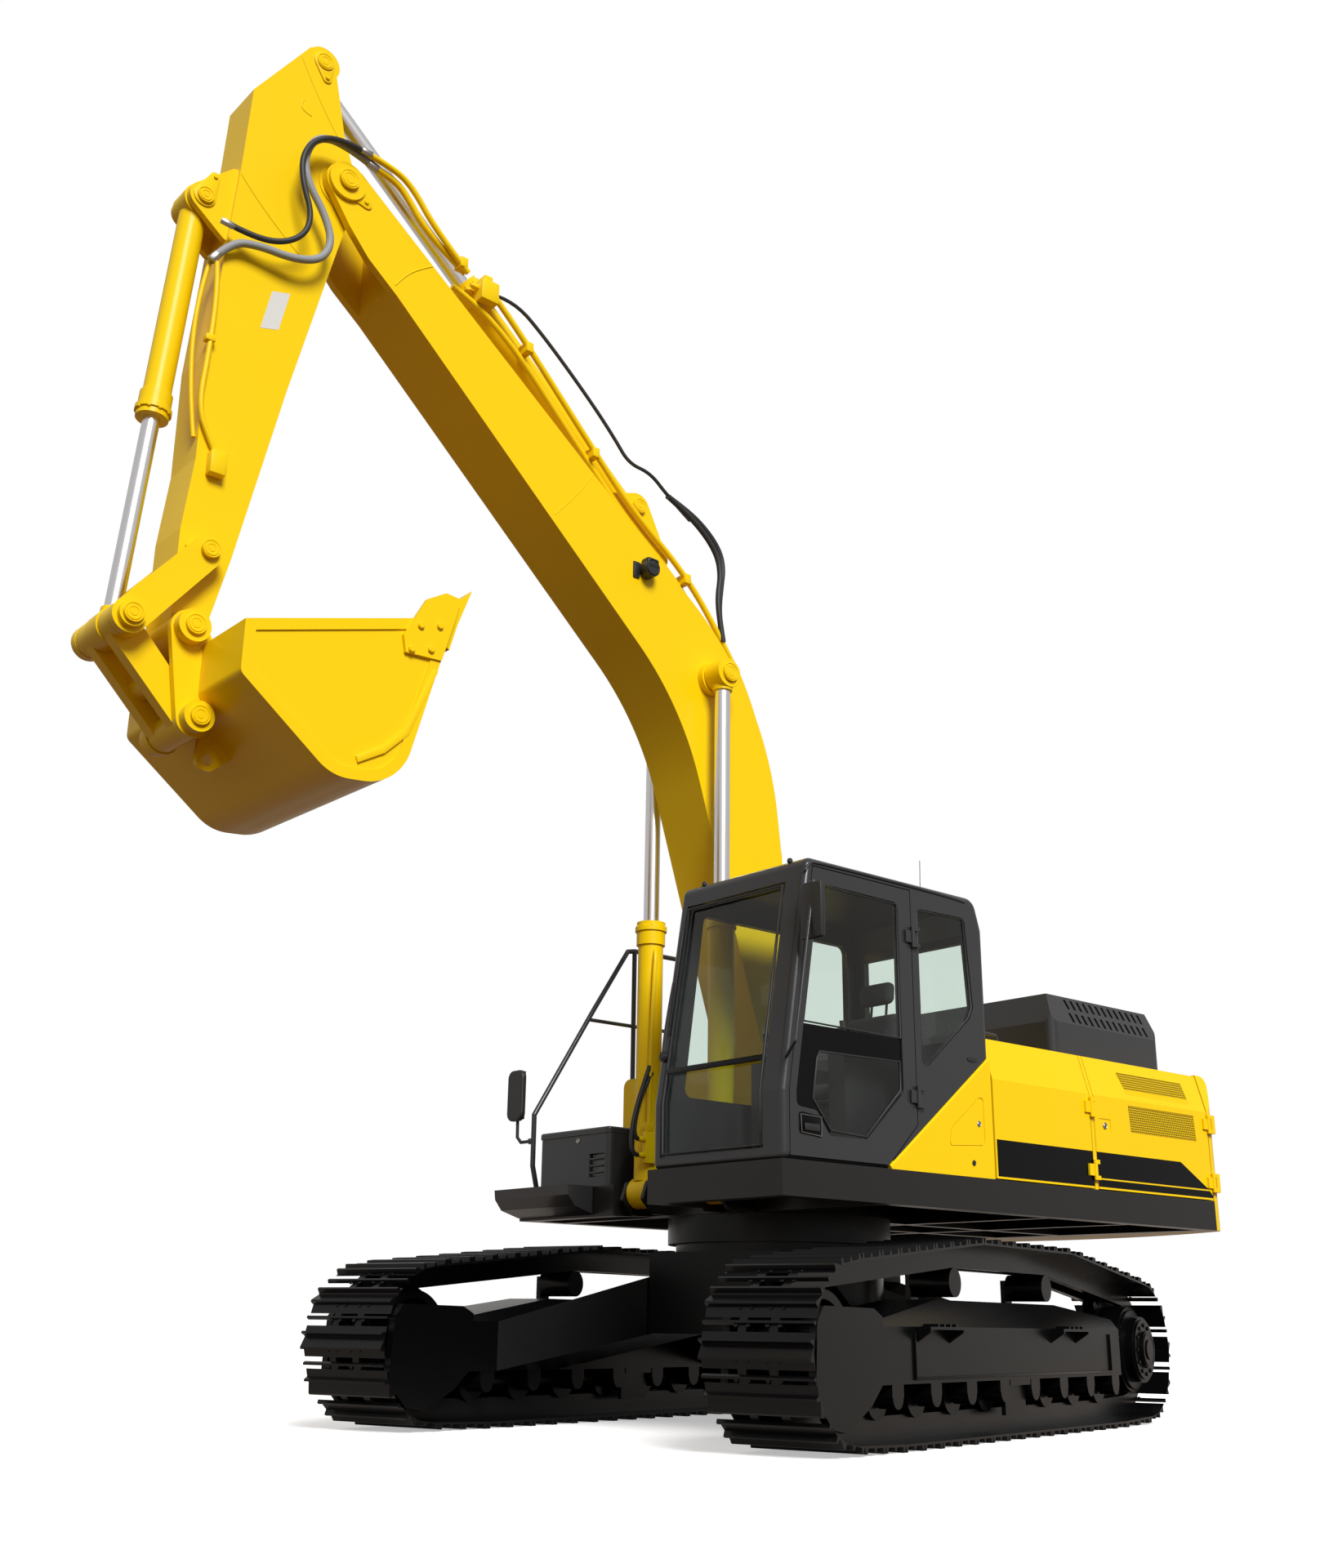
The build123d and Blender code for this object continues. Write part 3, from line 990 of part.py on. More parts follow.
# ---- arm ---------------------------------------------------------------------------------
ARM_OUTLINE = [
    (3775, 7690), (3880, 7835), (3960, 7790), (4285, 7300), (4312, 6700), (4392, 5500), (4385, 4870),
    (4425, 4450),
    (4425, 3900), (4245, 3880), (4132, 4352), (3906, 5458), (3693, 6400), (3600, 6800), (3600, 7060),
    (3690, 7300),
]
ARM_INSIDE = [(3800, 7350), (4240, 7260), (4280, 6700), (4360, 5500), (4350, 4870), (4370, 4560),
              (4160, 4560), (3940, 5458), (3740, 6400), (3740, 7200)]
with BuildPart() as arm:
    plate(ARM_OUTLINE, -ARM_HALF, ARM_HALF)
    plate(ARM_INSIDE, -ARM_HALF + ARM_WALL, ARM_HALF - ARM_WALL, mode=Mode.SUBTRACT)
    disc(BOOM_TIP, 145, -ARM_BOSS_HALF, ARM_BOSS_HALF)
    disc(ARM_CYLINDER_ROD, 105, -ARM_HALF, ARM_HALF)
    disc(BUCKET_PIN, 98, -ARM_HALF, ARM_HALF)
    slot = EYE_HALF + STEP_GAP
    disc(ARM_CYLINDER_ROD, 330, -slot, slot, mode=Mode.SUBTRACT)
    for side in (-1, 1):
        base_slot = BUCKET_BASE_HALF + STEP_GAP
        low, high = sorted((side * base_slot, side * (base_slot + LUG_WALL)))
        link([(BUCKET_CYLINDER_BASE, 85), ((4320, 6700), 40), ((4340, 6300), 40)], low, high)
        low, high = sorted((side * ARM_HALF, side * (ARM_HALF + 48)))
        disc(ROCKER_PIVOT, 75, low, high)
    disc(BOOM_TIP, PIN_RADIUS, -BOOM_HALF - 30, BOOM_HALF + 30)
    disc(BUCKET_PIN, PIN_RADIUS, -ARM_HALF - 60, ARM_HALF + 60)
    disc(ROCKER_PIVOT, PIN_RADIUS, -ARM_HALF - 118, ARM_HALF + 118)
    disc(BUCKET_CYLINDER_BASE, PIN_RADIUS + SEAT, -ARM_HALF, ARM_HALF, mode=Mode.SUBTRACT)
finish(arm, "arm", house_place)

ROCKER_IN = 205.0
ROCKER_OUT = 255.0
LINK_OUT = 198.0
with BuildPart() as rockers:
    for side in (-1, 1):
        low, high = sorted((side * ROCKER_IN, side * ROCKER_OUT))
        link([(ROCKER_PIVOT, 85), (LINK_PIN, 92)], low, high)
        disc(ROCKER_PIVOT, PIN_RADIUS + SEAT, low - 1, high + 1, mode=Mode.SUBTRACT)
        low, high = sorted((side * ROCKER_IN, side * (ROCKER_OUT + 35)))
        disc(LINK_PIN, 68, low, high)
finish(rockers, "rocker_links", house_place)

with BuildPart() as power_link:
    for side in (-1, 1):
        low, high = sorted((side * (EYE_HALF + STEP_GAP), side * LINK_OUT))
        disc(LINK_PIN, 90, low, high)
        low, high = sorted((side * (EYE_HALF + STEP_GAP), side * (EYE_HALF + STEP_GAP + 75)))
        link([(LINK_PIN, 88), (BUCKET_LINK_PIN, 82)], low, high)
    disc(BUCKET_LINK_PIN, 88, -ARM_HALF + 2, ARM_HALF - 2)
    middle = along(LINK_PIN, BUCKET_LINK_PIN, 330)
    disc(middle, 60, -EYE_HALF - 20, EYE_HALF + 20)
    disc(BUCKET_LINK_PIN, PIN_RADIUS + SEAT, -ARM_HALF, ARM_HALF, mode=Mode.SUBTRACT)
finish(power_link, "power_link", house_place)

# ---- bucket ------------------------------------------------------------------------------
BUCKET_SIDE = [(3045, 4185), (3330, 3160), (3720, 3130), (4255, 3545), (4255, 3825), (3333, 4095)]
BUCKET_ROOM = [(3090, 4260), (3353, 3187), (3712, 3159), (4227, 3558), (4227, 3900), (3333, 4300)]
SIDE_CUTTER = [(3050, 4175), (3024, 4292), (3120, 4300), (3238, 4229), (3367, 3989), (3348, 3895),
               (3125, 3905)]
BAND_WIDTH = 60.0
BAND = 10.0                # raised bands and cutters on the bucket's sides
CUTTER = 22.0
BUCKET_EYE = (4090.0, 3285.0)
BUCKET_EYE_BORE = 30.0
BUCKET_BENDS = [0, 300, 260, 50, 0, 0]
ROOM_BENDS = [0, 275, 235, 30, 0, 0]


def bucket_wall(y_low, y_high, mode=Mode.ADD):
    """The bucket's wrapped plate: lip, floor and back in one."""
    with BuildSketch(Plane.XZ.offset(-y_high)) as wall:
        with BuildLine():
            FilletPolyline(*BUCKET_SIDE, radius=BUCKET_BENDS, close=True)
        make_face()
        with BuildLine():
            FilletPolyline(*BUCKET_ROOM, radius=ROOM_BENDS, close=True)
        make_face(mode=Mode.SUBTRACT)
    extrude(wall.sketch, amount=y_high - y_low, mode=mode)


with BuildPart() as bucket:
    bucket_wall(-BUCKET_HALF + 1, BUCKET_HALF - 1)
    plate(BUCKET_SIDE, -BUCKET_HALF, -BUCKET_HALF + BUCKET_WALL, radius=BUCKET_BENDS)
    plate(BUCKET_SIDE, BUCKET_HALF - BUCKET_WALL, BUCKET_HALF, radius=BUCKET_BENDS)
    for side in (-1, 1):
        low, high = sorted((side * (ARM_HALF + FORK_GAP), side * (ARM_HALF + FORK_GAP + LUG_WALL)))
        link([(BUCKET_PIN, 100), (BUCKET_LINK_PIN, 95), ((4180, 3700), 60)], low, high)
        low, high = sorted((side * (ARM_HALF + FORK_GAP), side * 265))
        disc(BUCKET_PIN, 88, low, high)
        disc(BUCKET_LINK_PIN, 82, low, high)
        disc(BUCKET_PIN, PIN_RADIUS + SEAT, low - 1, high + 1, mode=Mode.SUBTRACT)
    disc(BUCKET_LINK_PIN, PIN_RADIUS, -ARM_HALF - 110, ARM_HALF + 110)
    for side in (-1, 1):
        low, high = sorted((side * (BUCKET_HALF - 1), side * (BUCKET_HALF + BAND)))
        with BuildSketch(Plane.XZ.offset(-high)) as band:
            with BuildLine():
                FilletPolyline(*BUCKET_SIDE, radius=BUCKET_BENDS, close=True)
            make_face()
            offset(amount=-BAND_WIDTH, mode=Mode.SUBTRACT)
        extrude(band.sketch, amount=high - low)
        low, high = sorted((side * (BUCKET_HALF - 1), side * (BUCKET_HALF + CUTTER)))
        plate(SIDE_CUTTER, low, high)
    link([(BUCKET_EYE, 58), ((3975, 3330), 22), ((4120, 3440), 22)], -20, 20)
    disc(BUCKET_EYE, BUCKET_EYE_BORE, -21, 21, mode=Mode.SUBTRACT)
finish(bucket, "bucket", house_place)

with BuildPart() as bucket_teeth:
    for index in range(TEETH_ON_BUCKET):
        y = -BUCKET_HALF + 75 + index * (2 * BUCKET_HALF - 150) / (TEETH_ON_BUCKET - 1)
        plate([(3095, 4020), (3055, 4000), (3010, 4160), (2928, 4385), (3060, 4250), (3110, 4100)], y - 55,
              y + 55)
        bucket_wall(y - 60, y + 60, mode=Mode.SUBTRACT)
finish(bucket_teeth, "bucket_teeth", house_place)
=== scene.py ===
# %% [markdown]
# # A crawler excavator
# The steel parts come from the CAD frame: tracks, house, boom, arm and bucket, each on the body it moves
# with. Blender gives them their paint and adds what a workshop would fit last: bolts, hoses, pads, trim
# and stripes. Everything is in metres. +X is the house's front, +Y its left side with the cab, +Z is up.

import json
import math

import bmesh
import bpy
from mathutils import Matrix, Vector, geometry


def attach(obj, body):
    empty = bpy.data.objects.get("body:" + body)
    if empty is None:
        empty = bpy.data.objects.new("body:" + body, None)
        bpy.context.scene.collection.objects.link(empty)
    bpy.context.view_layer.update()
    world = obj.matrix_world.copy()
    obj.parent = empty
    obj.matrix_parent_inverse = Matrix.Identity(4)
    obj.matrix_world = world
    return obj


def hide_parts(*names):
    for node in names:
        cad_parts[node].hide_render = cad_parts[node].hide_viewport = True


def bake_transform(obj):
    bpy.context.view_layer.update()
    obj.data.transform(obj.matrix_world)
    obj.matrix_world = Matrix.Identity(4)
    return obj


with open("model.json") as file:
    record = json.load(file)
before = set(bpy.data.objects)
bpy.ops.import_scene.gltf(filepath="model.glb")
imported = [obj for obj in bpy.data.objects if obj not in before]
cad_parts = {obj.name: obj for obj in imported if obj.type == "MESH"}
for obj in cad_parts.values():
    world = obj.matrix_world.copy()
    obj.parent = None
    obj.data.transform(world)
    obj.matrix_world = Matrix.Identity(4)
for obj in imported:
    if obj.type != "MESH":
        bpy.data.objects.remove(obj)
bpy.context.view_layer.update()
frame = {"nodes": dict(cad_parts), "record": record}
SLOT_OF = {piece["node"]: piece["material_slot"] for piece in frame["record"]["subparts"]}

# %% [markdown]
# ## Camera and light
# The machine is seen from its front left, from about half a metre above the ground, so the lens looks up
# along the boom. A long soft sun from the left and above shapes the boom; an even pale sky fills the
# rest. The backdrop is white for the camera and through glass. A reflection shows only a share of it,
# and it lights nothing else.

# %% Camera
SWING_X = -0.870          # the swing axis, in metres from the frame's origin
CAMERA_X, CAMERA_Y, CAMERA_Z = 7.5691, 7.6989, 0.5608     # metres from the foot of the swing axis
YAW, PITCH, ROLL = (math.radians(a) for a in (229.7476, 18.4819, 0.7638))
FOCAL_SHARE = 1.06266     # the focal length as a share of the sensor's long side
SHIFT_X, SHIFT_Y = 0.0053, -0.0095
SENSOR = 36.0
CLIP_END = 200


def camera_turn(yaw, pitch, roll):
    """The turn of a camera that looks along yaw and pitch, then rolls about its own axis."""
    forward = Vector((math.cos(pitch) * math.cos(yaw), math.cos(pitch) * math.sin(yaw), math.sin(pitch)))
    right = Vector((math.sin(yaw), -math.cos(yaw), 0.0))
    up = right.cross(forward)
    side = math.cos(roll) * right + math.sin(roll) * up
    top = math.cos(roll) * up - math.sin(roll) * right
    return Matrix((side, top, -forward)).transposed()


lens = bpy.data.cameras.new("camera")
camera = bpy.data.objects.new("camera", lens)
bpy.context.scene.collection.objects.link(camera)
stand = Matrix.Translation((CAMERA_X + SWING_X, CAMERA_Y, CAMERA_Z))
camera.matrix_world = stand @ camera_turn(YAW, PITCH, ROLL).to_4x4()
lens.sensor_width = SENSOR
lens.sensor_fit = "AUTO"
lens.lens = SENSOR * FOCAL_SHARE
lens.shift_x = SHIFT_X
lens.shift_y = SHIFT_Y
lens.clip_end = CLIP_END
bpy.context.scene.camera = camera
print("lens", round(lens.lens, 2), "mm")

# %% Light and backdrop
SKY_LIGHT = 0.40
SKY_COLOR = (1.0, 0.95, 0.90, 1)
SUN_LIGHT = 3.7
SUN_SPREAD = math.radians(25)
SUN_WAY = Vector((-0.35, -1.0, -0.75))
GLOSS_SHARE = 0.25        # how much of the white backdrop a reflection shows
scene = bpy.context.scene
scene.view_settings.view_transform = "Standard"
world = bpy.data.worlds.new("studio")
scene.world = world
world.use_nodes = True
nodes = world.node_tree.nodes
links = world.node_tree.links
nodes.clear()


def seen_directly(tree):
    """A value that is 1 for the camera's rays and through glass, and lower for reflections."""
    path = tree.nodes.new("ShaderNodeLightPath")
    gloss = tree.nodes.new("ShaderNodeMath")
    gloss.operation = "MULTIPLY"
    gloss.inputs[1].default_value = GLOSS_SHARE
    first = tree.nodes.new("ShaderNodeMath")
    first.operation = "MAXIMUM"
    second = tree.nodes.new("ShaderNodeMath")
    second.operation = "MAXIMUM"
    tree.links.new(path.outputs["Is Glossy Ray"], gloss.inputs[0])
    tree.links.new(path.outputs["Is Camera Ray"], first.inputs[0])
    tree.links.new(gloss.outputs[0], first.inputs[1])
    tree.links.new(first.outputs[0], second.inputs[0])
    tree.links.new(path.outputs["Is Transmission Ray"], second.inputs[1])
    return second.outputs[0]


light_sky = nodes.new("ShaderNodeBackground")
light_sky.inputs["Color"].default_value = SKY_COLOR
light_sky.inputs["Strength"].default_value = SKY_LIGHT
white_sky = nodes.new("ShaderNodeBackground")
white_sky.inputs["Color"].default_value = (1, 1, 1, 1)
white_sky.inputs["Strength"].default_value = 1.0
mix = nodes.new("ShaderNodeMixShader")
out = nodes.new("ShaderNodeOutputWorld")
links.new(seen_directly(world.node_tree), mix.inputs[0])
links.new(light_sky.outputs[0], mix.inputs[1])
links.new(white_sky.outputs[0], mix.inputs[2])
links.new(mix.outputs[0], out.inputs[0])

sun_lamp = bpy.data.lights.new("sun", "SUN")
sun_lamp.energy = SUN_LIGHT
sun_lamp.angle = SUN_SPREAD
sun = bpy.data.objects.new("sun", sun_lamp)
scene.collection.objects.link(sun)
sun.rotation_euler = SUN_WAY.to_track_quat("-Z", "Y").to_euler()

# %% [markdown]
# ## The floor
# A pale square under the tracks. For the camera it is bright enough to melt into the backdrop and still
# darkens where the machine shades it; for the light that bounces up under the machine it is dark brown
# ground.

# %% Floor
FLOOR_SIZE = 120.0
GROUND_BROWN = (0.15, 0.085, 0.03, 1)
PAPER_WHITE = (0.9, 0.9, 0.9, 1)
PAPER_GLOW = 0.45
bpy.ops.object.select_all(action="DESELECT")
bpy.ops.mesh.primitive_plane_add(size=FLOOR_SIZE, location=(0, 0, 0))
floor = bpy.context.object
floor.name = "floor"
floor.data.transform(floor.matrix_world)
floor.matrix_world = Matrix.Identity(4)
paper = bpy.data.materials.new("floor_paper")
paper.use_nodes = True
tree = paper.node_tree
tree.nodes.clear()
bounce = tree.nodes.new("ShaderNodeBsdfDiffuse")
bounce.inputs["Color"].default_value = GROUND_BROWN
bright = tree.nodes.new("ShaderNodeBsdfDiffuse")
bright.inputs["Color"].default_value = PAPER_WHITE
glow = tree.nodes.new("ShaderNodeEmission")
glow.inputs["Strength"].default_value = PAPER_GLOW
seen = tree.nodes.new("ShaderNodeAddShader")
both = tree.nodes.new("ShaderNodeMixShader")
surface = tree.nodes.new("ShaderNodeOutputMaterial")
tree.links.new(bright.outputs[0], seen.inputs[0])
tree.links.new(glow.outputs[0], seen.inputs[1])
tree.links.new(seen_directly(tree), both.inputs[0])
tree.links.new(bounce.outputs[0], both.inputs[1])
tree.links.new(seen.outputs[0], both.inputs[2])
tree.links.new(both.outputs[0], surface.inputs[0])
floor.data.materials.append(paper)

# %% [markdown]
# ## Paint and metal
# Machine paint is a thick glossy enamel: a plain colour with a faint orange-peel ripple and roughness
# that changes slowly over a panel. The black undercarriage is the same enamel, and the rods are ground,
# hard chrome.


# %% A helper for enamel paints
def principled(name, color, rough, metal=0.0):
    """A material with one Principled shader; its constant values sit on the shader's own sockets."""
    material = bpy.data.materials.new(name)
    material.use_nodes = True
    shader = material.node_tree.nodes["Principled BSDF"]
    shader.inputs["Base Color"].default_value = (*color, 1)
    shader.inputs["Roughness"].default_value = rough
    shader.inputs["Metallic"].default_value = metal
    return material


def ripple(material, scale, height, rough_low=None, rough_high=None):
    """Adds a fine bump to a material and, if asked, roughness that changes slowly over the surface."""
    tree = material.node_tree
    shader = tree.nodes["Principled BSDF"]
    place = tree.nodes.new("ShaderNodeTexCoord")
    noise = tree.nodes.new("ShaderNodeTexNoise")
    noise.inputs["Scale"].default_value = scale
    noise.inputs["Detail"].default_value = 2
    bump = tree.nodes.new("ShaderNodeBump")
    bump.inputs["Strength"].default_value = 0.35
    bump.inputs["Distance"].default_value = height
    tree.links.new(place.outputs["Object"], noise.inputs["Vector"])
    tree.links.new(noise.outputs["Fac"], bump.inputs["Height"])
    tree.links.new(bump.outputs["Normal"], shader.inputs["Normal"])
    if rough_low is not None:
        slow = tree.nodes.new("ShaderNodeTexNoise")
        slow.inputs["Scale"].default_value = 1.7
        slow.inputs["Detail"].default_value = 3
        spread = tree.nodes.new("ShaderNodeMapRange")
        spread.inputs["To Min"].default_value = rough_low
        spread.inputs["To Max"].default_value = rough_high
        tree.links.new(place.outputs["Object"], slow.inputs["Vector"])
        tree.links.new(slow.outputs["Fac"], spread.inputs["Value"])
        tree.links.new(spread.outputs["Result"], shader.inputs["Roughness"])
    return material


def enamel(name, color, coat, rough_low, rough_high, specular=0.4):
    """Glossy machine paint."""
    material = principled(name, color, rough_low)
    shader = material.node_tree.nodes["Principled BSDF"]
    shader.inputs["Coat Weight"].default_value = coat
    shader.inputs["Specular IOR Level"].default_value = specular
    shader.inputs["Coat Roughness"].default_value = 0.12
    return ripple(material, 90.0, 0.0006, rough_low, rough_high)


# %% The materials of the CAD slots
YELLOW = (0.86, 0.575, 0.002)
MATERIALS = {
    "yellow": enamel("yellow_enamel", YELLOW, 0.05, 0.30, 0.42, 0.16),
    "dark_grey": enamel("dark_grey_enamel", (0.024, 0.025, 0.028), 0.30, 0.26, 0.38, 0.30),
    "chassis_black": enamel("black_enamel", (0.002, 0.0022, 0.0025), 0.0, 0.20, 0.32, 0.22),
    "track_steel": enamel("black_track_enamel", (0.002, 0.002, 0.0025), 0.0, 0.20, 0.32, 0.30),
    "chrome": principled("hard_chrome", (0.82, 0.82, 0.84), 0.25, 1.0),
    "steel": ripple(principled("bare_steel", (0.32, 0.31, 0.30), 0.42, 1.0), 60.0, 0.0008),
    "seat_fabric": ripple(principled("seat_cloth", (0.030, 0.030, 0.034), 0.85), 600.0, 0.0010),
    "black_plastic": ripple(principled("black_plastic", (0.009, 0.009, 0.010), 0.46), 400.0, 0.0001),
}
print("finishes", sorted(MATERIALS))

# %% [markdown]
# ## Glass
# Cab glass is thin and slightly green. A thin sheet bends light too little to see, so it is a clear tint
# mixed with a sharp reflection that grows towards the edges of view, which renders clean without long
# light paths.

# %% Cab glass
GLASS_TINT = (0.89, 0.93, 0.905, 1)
glass = bpy.data.materials.new("green_glass")
glass.use_nodes = True
tree = glass.node_tree
tree.nodes.clear()
clear = tree.nodes.new("ShaderNodeBsdfTransparent")
clear.inputs["Color"].default_value = GLASS_TINT
shine = tree.nodes.new("ShaderNodeBsdfGlossy")
shine.inputs["Roughness"].default_value = 0.02
edge = tree.nodes.new("ShaderNodeFresnel")
edge.inputs["IOR"].default_value = 1.5
side_seen = tree.nodes.new("ShaderNodeNewGeometry")
front_only = tree.nodes.new("ShaderNodeMath")
front_only.operation = "SUBTRACT"
front_only.use_clamp = True
pane = tree.nodes.new("ShaderNodeMixShader")
surface = tree.nodes.new("ShaderNodeOutputMaterial")
tree.links.new(edge.outputs[0], front_only.inputs[0])
tree.links.new(side_seen.outputs["Backfacing"], front_only.inputs[1])
tree.links.new(front_only.outputs[0], pane.inputs[0])
tree.links.new(clear.outputs[0], pane.inputs[1])
tree.links.new(shine.outputs[0], pane.inputs[2])
tree.links.new(pane.outputs[0], surface.inputs[0])
MATERIALS["glass"] = glass

# %% Paint the CAD nodes
REPAINTED = {
    "left_cover_frame": "yellow",
    "right_cover_frame": "yellow",
    "bucket_teeth": "yellow",
    "deck_frame": "skirt_grey",
}
MATERIALS["skirt_grey"] = enamel("skirt_grey", (0.013, 0.0125, 0.012), 0.05, 0.26, 0.38, 0.25)
for name, node in frame["nodes"].items():
    node.data.materials.clear()
    node.data.materials.append(MATERIALS[REPAINTED.get(name, SLOT_OF[name])])
print("painted", len(frame["nodes"]))

# %% [markdown]
# ## Helpers for the workshop's pieces
# Drawings of a machine are in millimetres from the swing axis, so every place below is given that way
# and turned into metres once, here. The tracks have a helper of their own, because they stand turned
# under the house.

# %% Places
SLEW = math.radians(15)
TRACK_PLACE = Matrix.Translation((SWING_X, 0, 0)) @ Matrix.Rotation(SLEW, 4, "Z")
OUT, UP, AHEAD = Vector((0, 1, 0)), Vector((0, 0, 1)), Vector((1, 0, 0))
BODIES = frame["record"]["behaviour"]["bodies"]
BODY_OF = {node: body for body, members in BODIES.items() for node in members}
FAR_SIDE = 4000           # millimetres, well clear of the machine


def at(x, y, z):
    """A place on the house or the arms, from millimetres off the swing axis."""
    return Vector((x / 1000 + SWING_X, y / 1000, z / 1000))


def on_track(x, y, z):
    """A place on the undercarriage."""
    return TRACK_PLACE @ Vector((x / 1000, y / 1000, z / 1000))


def skin(x, z, side=1):
    """The outermost steel at (x, z), seen from one side: its y in millimetres and the body it belongs to."""
    start = at(x, side * FAR_SIDE, z)
    best = None
    for name, node in frame["nodes"].items():
        hit, place, _, _ = node.ray_cast(start, -side * OUT)
        if hit and (best is None or place.y * side > best[0] * side):
            best = (place.y, name)
    if best is None:
        return 0, "house"
    return best[0] * 1000, BODY_OF[best[1]]


def toward(start, end, distance):
    """The place at a distance in millimetres from start on the way to end, both as (x, z)."""
    reach = math.dist(start, end)
    return tuple(a + (b - a) * distance / reach for a, b in zip(start, end))


print("door skin", skin(-700, 1600))

# %% Blocks, plates and turned pieces


def begin():
    """Leaves nothing selected, in object mode."""
    if bpy.context.object and bpy.context.object.mode == "EDIT":
        bpy.ops.object.mode_set(mode="OBJECT")
    bpy.ops.object.select_all(action="DESELECT")


def edit_all():
    """Opens the new piece in edit mode with all of it selected."""
    bpy.ops.object.transform_apply(location=True, rotation=True, scale=True)
    bpy.ops.object.mode_set(mode="EDIT")
    bpy.ops.mesh.select_mode(type="FACE")
    bpy.ops.mesh.select_all(action="SELECT")


def block(low, high, bevel=0.004):
    """A cube at its size and place with rounded edges."""
    begin()
    small = Vector(map(min, zip(low, high)))
    large = Vector(map(max, zip(low, high)))
    bpy.ops.mesh.primitive_cube_add(size=1, location=(small + large) / 2)
    piece = bpy.context.object
    piece.scale = large - small
    edit_all()
    bpy.ops.mesh.bevel(offset=bevel, segments=2, affect="EDGES")
    bpy.ops.object.mode_set(mode="OBJECT")
    return piece


def turned(foot, axis, radius, depth, steps=(), sides=28, bevel=0.0015):
    """A round piece on its foot: a cylinder along axis whose outer face is inset and moved, step by step."""
    begin()
    axis = Vector(axis).normalized()
    bpy.ops.mesh.primitive_cylinder_add(vertices=sides, radius=radius, depth=depth,
                                        location=Vector(foot) + axis * depth / 2,
                                        rotation=axis.to_track_quat("Z", "Y").to_euler())
    piece = bpy.context.object
    edit_all()
    mesh = bmesh.from_edit_mesh(piece.data)
    for face in mesh.faces:
        face.select_set(face.normal.dot(axis) > 0.99)
    bmesh.update_edit_mesh(piece.data)
    for inset, push in steps:
        bpy.ops.mesh.inset(thickness=inset, depth=0)
        bpy.ops.mesh.extrude_region_move(TRANSFORM_OT_translate={"value": axis * push})
    bpy.ops.mesh.select_all(action="DESELECT")
    bpy.ops.mesh.select_mode(type="EDGE")
    bpy.ops.mesh.edges_select_sharp(sharpness=math.radians(40))
    bpy.ops.mesh.bevel(offset=bevel, segments=1, affect="EDGES")
    bpy.ops.object.mode_set(mode="OBJECT")
    return piece


def flat(corners, push, bevel=0.0):
    """A plate: a filled circle with its vertices moved to the corners, extruded along push."""
    begin()
    bpy.ops.mesh.primitive_circle_add(vertices=len(corners), radius=1, fill_type="NGON")
    piece = bpy.context.object
    edit_all()
    mesh = bmesh.from_edit_mesh(piece.data)
    mesh.verts.ensure_lookup_table()
    for vertex, corner in zip(mesh.verts, corners):
        vertex.co = corner
    bmesh.update_edit_mesh(piece.data)
    bpy.ops.mesh.extrude_region_move(TRANSFORM_OT_translate={"value": push})
    bpy.ops.mesh.select_all(action="SELECT")
    bpy.ops.mesh.normals_make_consistent(inside=False)
    if bevel:
        bpy.ops.mesh.bevel(offset=bevel, segments=2, affect="EDGES")
    bpy.ops.object.mode_set(mode="OBJECT")
    return piece


def tube(points, radius, cyclic=False, straight=False):
    """A round bar, pipe or hose along a route, made a mesh."""
    begin()
    route = bpy.data.curves.new("route", "CURVE")
    route.dimensions = "3D"
    route.bevel_depth = radius
    route.bevel_resolution = 3
    route.resolution_u = 6
    route.use_fill_caps = True
    spline = route.splines.new("POLY" if straight else "NURBS")
    spline.points.add(len(points) - 1)
    for knot, point in zip(spline.points, points):
        knot.co = (*point, 1)
    if not straight:
        spline.order_u = 3
        spline.use_endpoint_u = True
    spline.use_cyclic_u = cyclic
    piece = bpy.data.objects.new("route", route)
    scene.collection.objects.link(piece)
    piece.select_set(True)
    bpy.context.view_layer.objects.active = piece
    bpy.ops.object.convert(target="MESH")
    return bpy.context.object


def joined(pieces):
    """Several pieces as one."""
    begin()
    for piece in pieces:
        piece.select_set(True)
    bpy.context.view_layer.objects.active = pieces[0]
    if len(pieces) > 1:
        bpy.ops.object.join()
    return bpy.context.object


def repeated(first, places):
    """Copies of a piece, each with its own mesh, one at each place, as one piece."""
    copies = []
    for place in places:
        copy = first.copy()
        copy.data = first.data.copy()
        copy.data.transform(place)
        scene.collection.objects.link(copy)
        copies.append(copy)
    bpy.data.objects.remove(first)
    return joined(copies)


def settle(piece, name, body, slot, finish=None, angle=35):
    """Names and paints a finished piece and lets it ride on its body; a hose between two bodies has none."""
    begin()
    piece.name = name
    piece.data.name = name
    piece.select_set(True)
    bpy.context.view_layer.objects.active = piece
    bpy.ops.object.shade_smooth_by_angle(angle=math.radians(angle))
    piece.data.materials.clear()
    piece.data.materials.append(finish or MATERIALS[slot])
    if body:
        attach(piece, body)
    return piece


def bolt(radius):
    """A hexagon bolt head that stands on the origin."""
    chamfer = ((radius * 0.15, radius * 0.1),)
    return turned((0, 0, 0), UP, radius, radius * 0.7, steps=chamfer, sides=6, bevel=radius * 0.06)


def facing(place, axis):
    """The matrix that puts something standing on the origin at a place, looking along axis."""
    return Matrix.Translation(place) @ Vector(axis).to_track_quat("Z", "Y").to_matrix().to_4x4()


def ring(centre, axis, radius, count, start=0.0):
    """Matrices for a ring of bolts."""
    base = facing(centre, axis)
    turns = (start + 2 * math.pi * i / count for i in range(count))
    return [base @ Matrix.Translation((radius * math.cos(t), radius * math.sin(t), 0)) for t in turns]


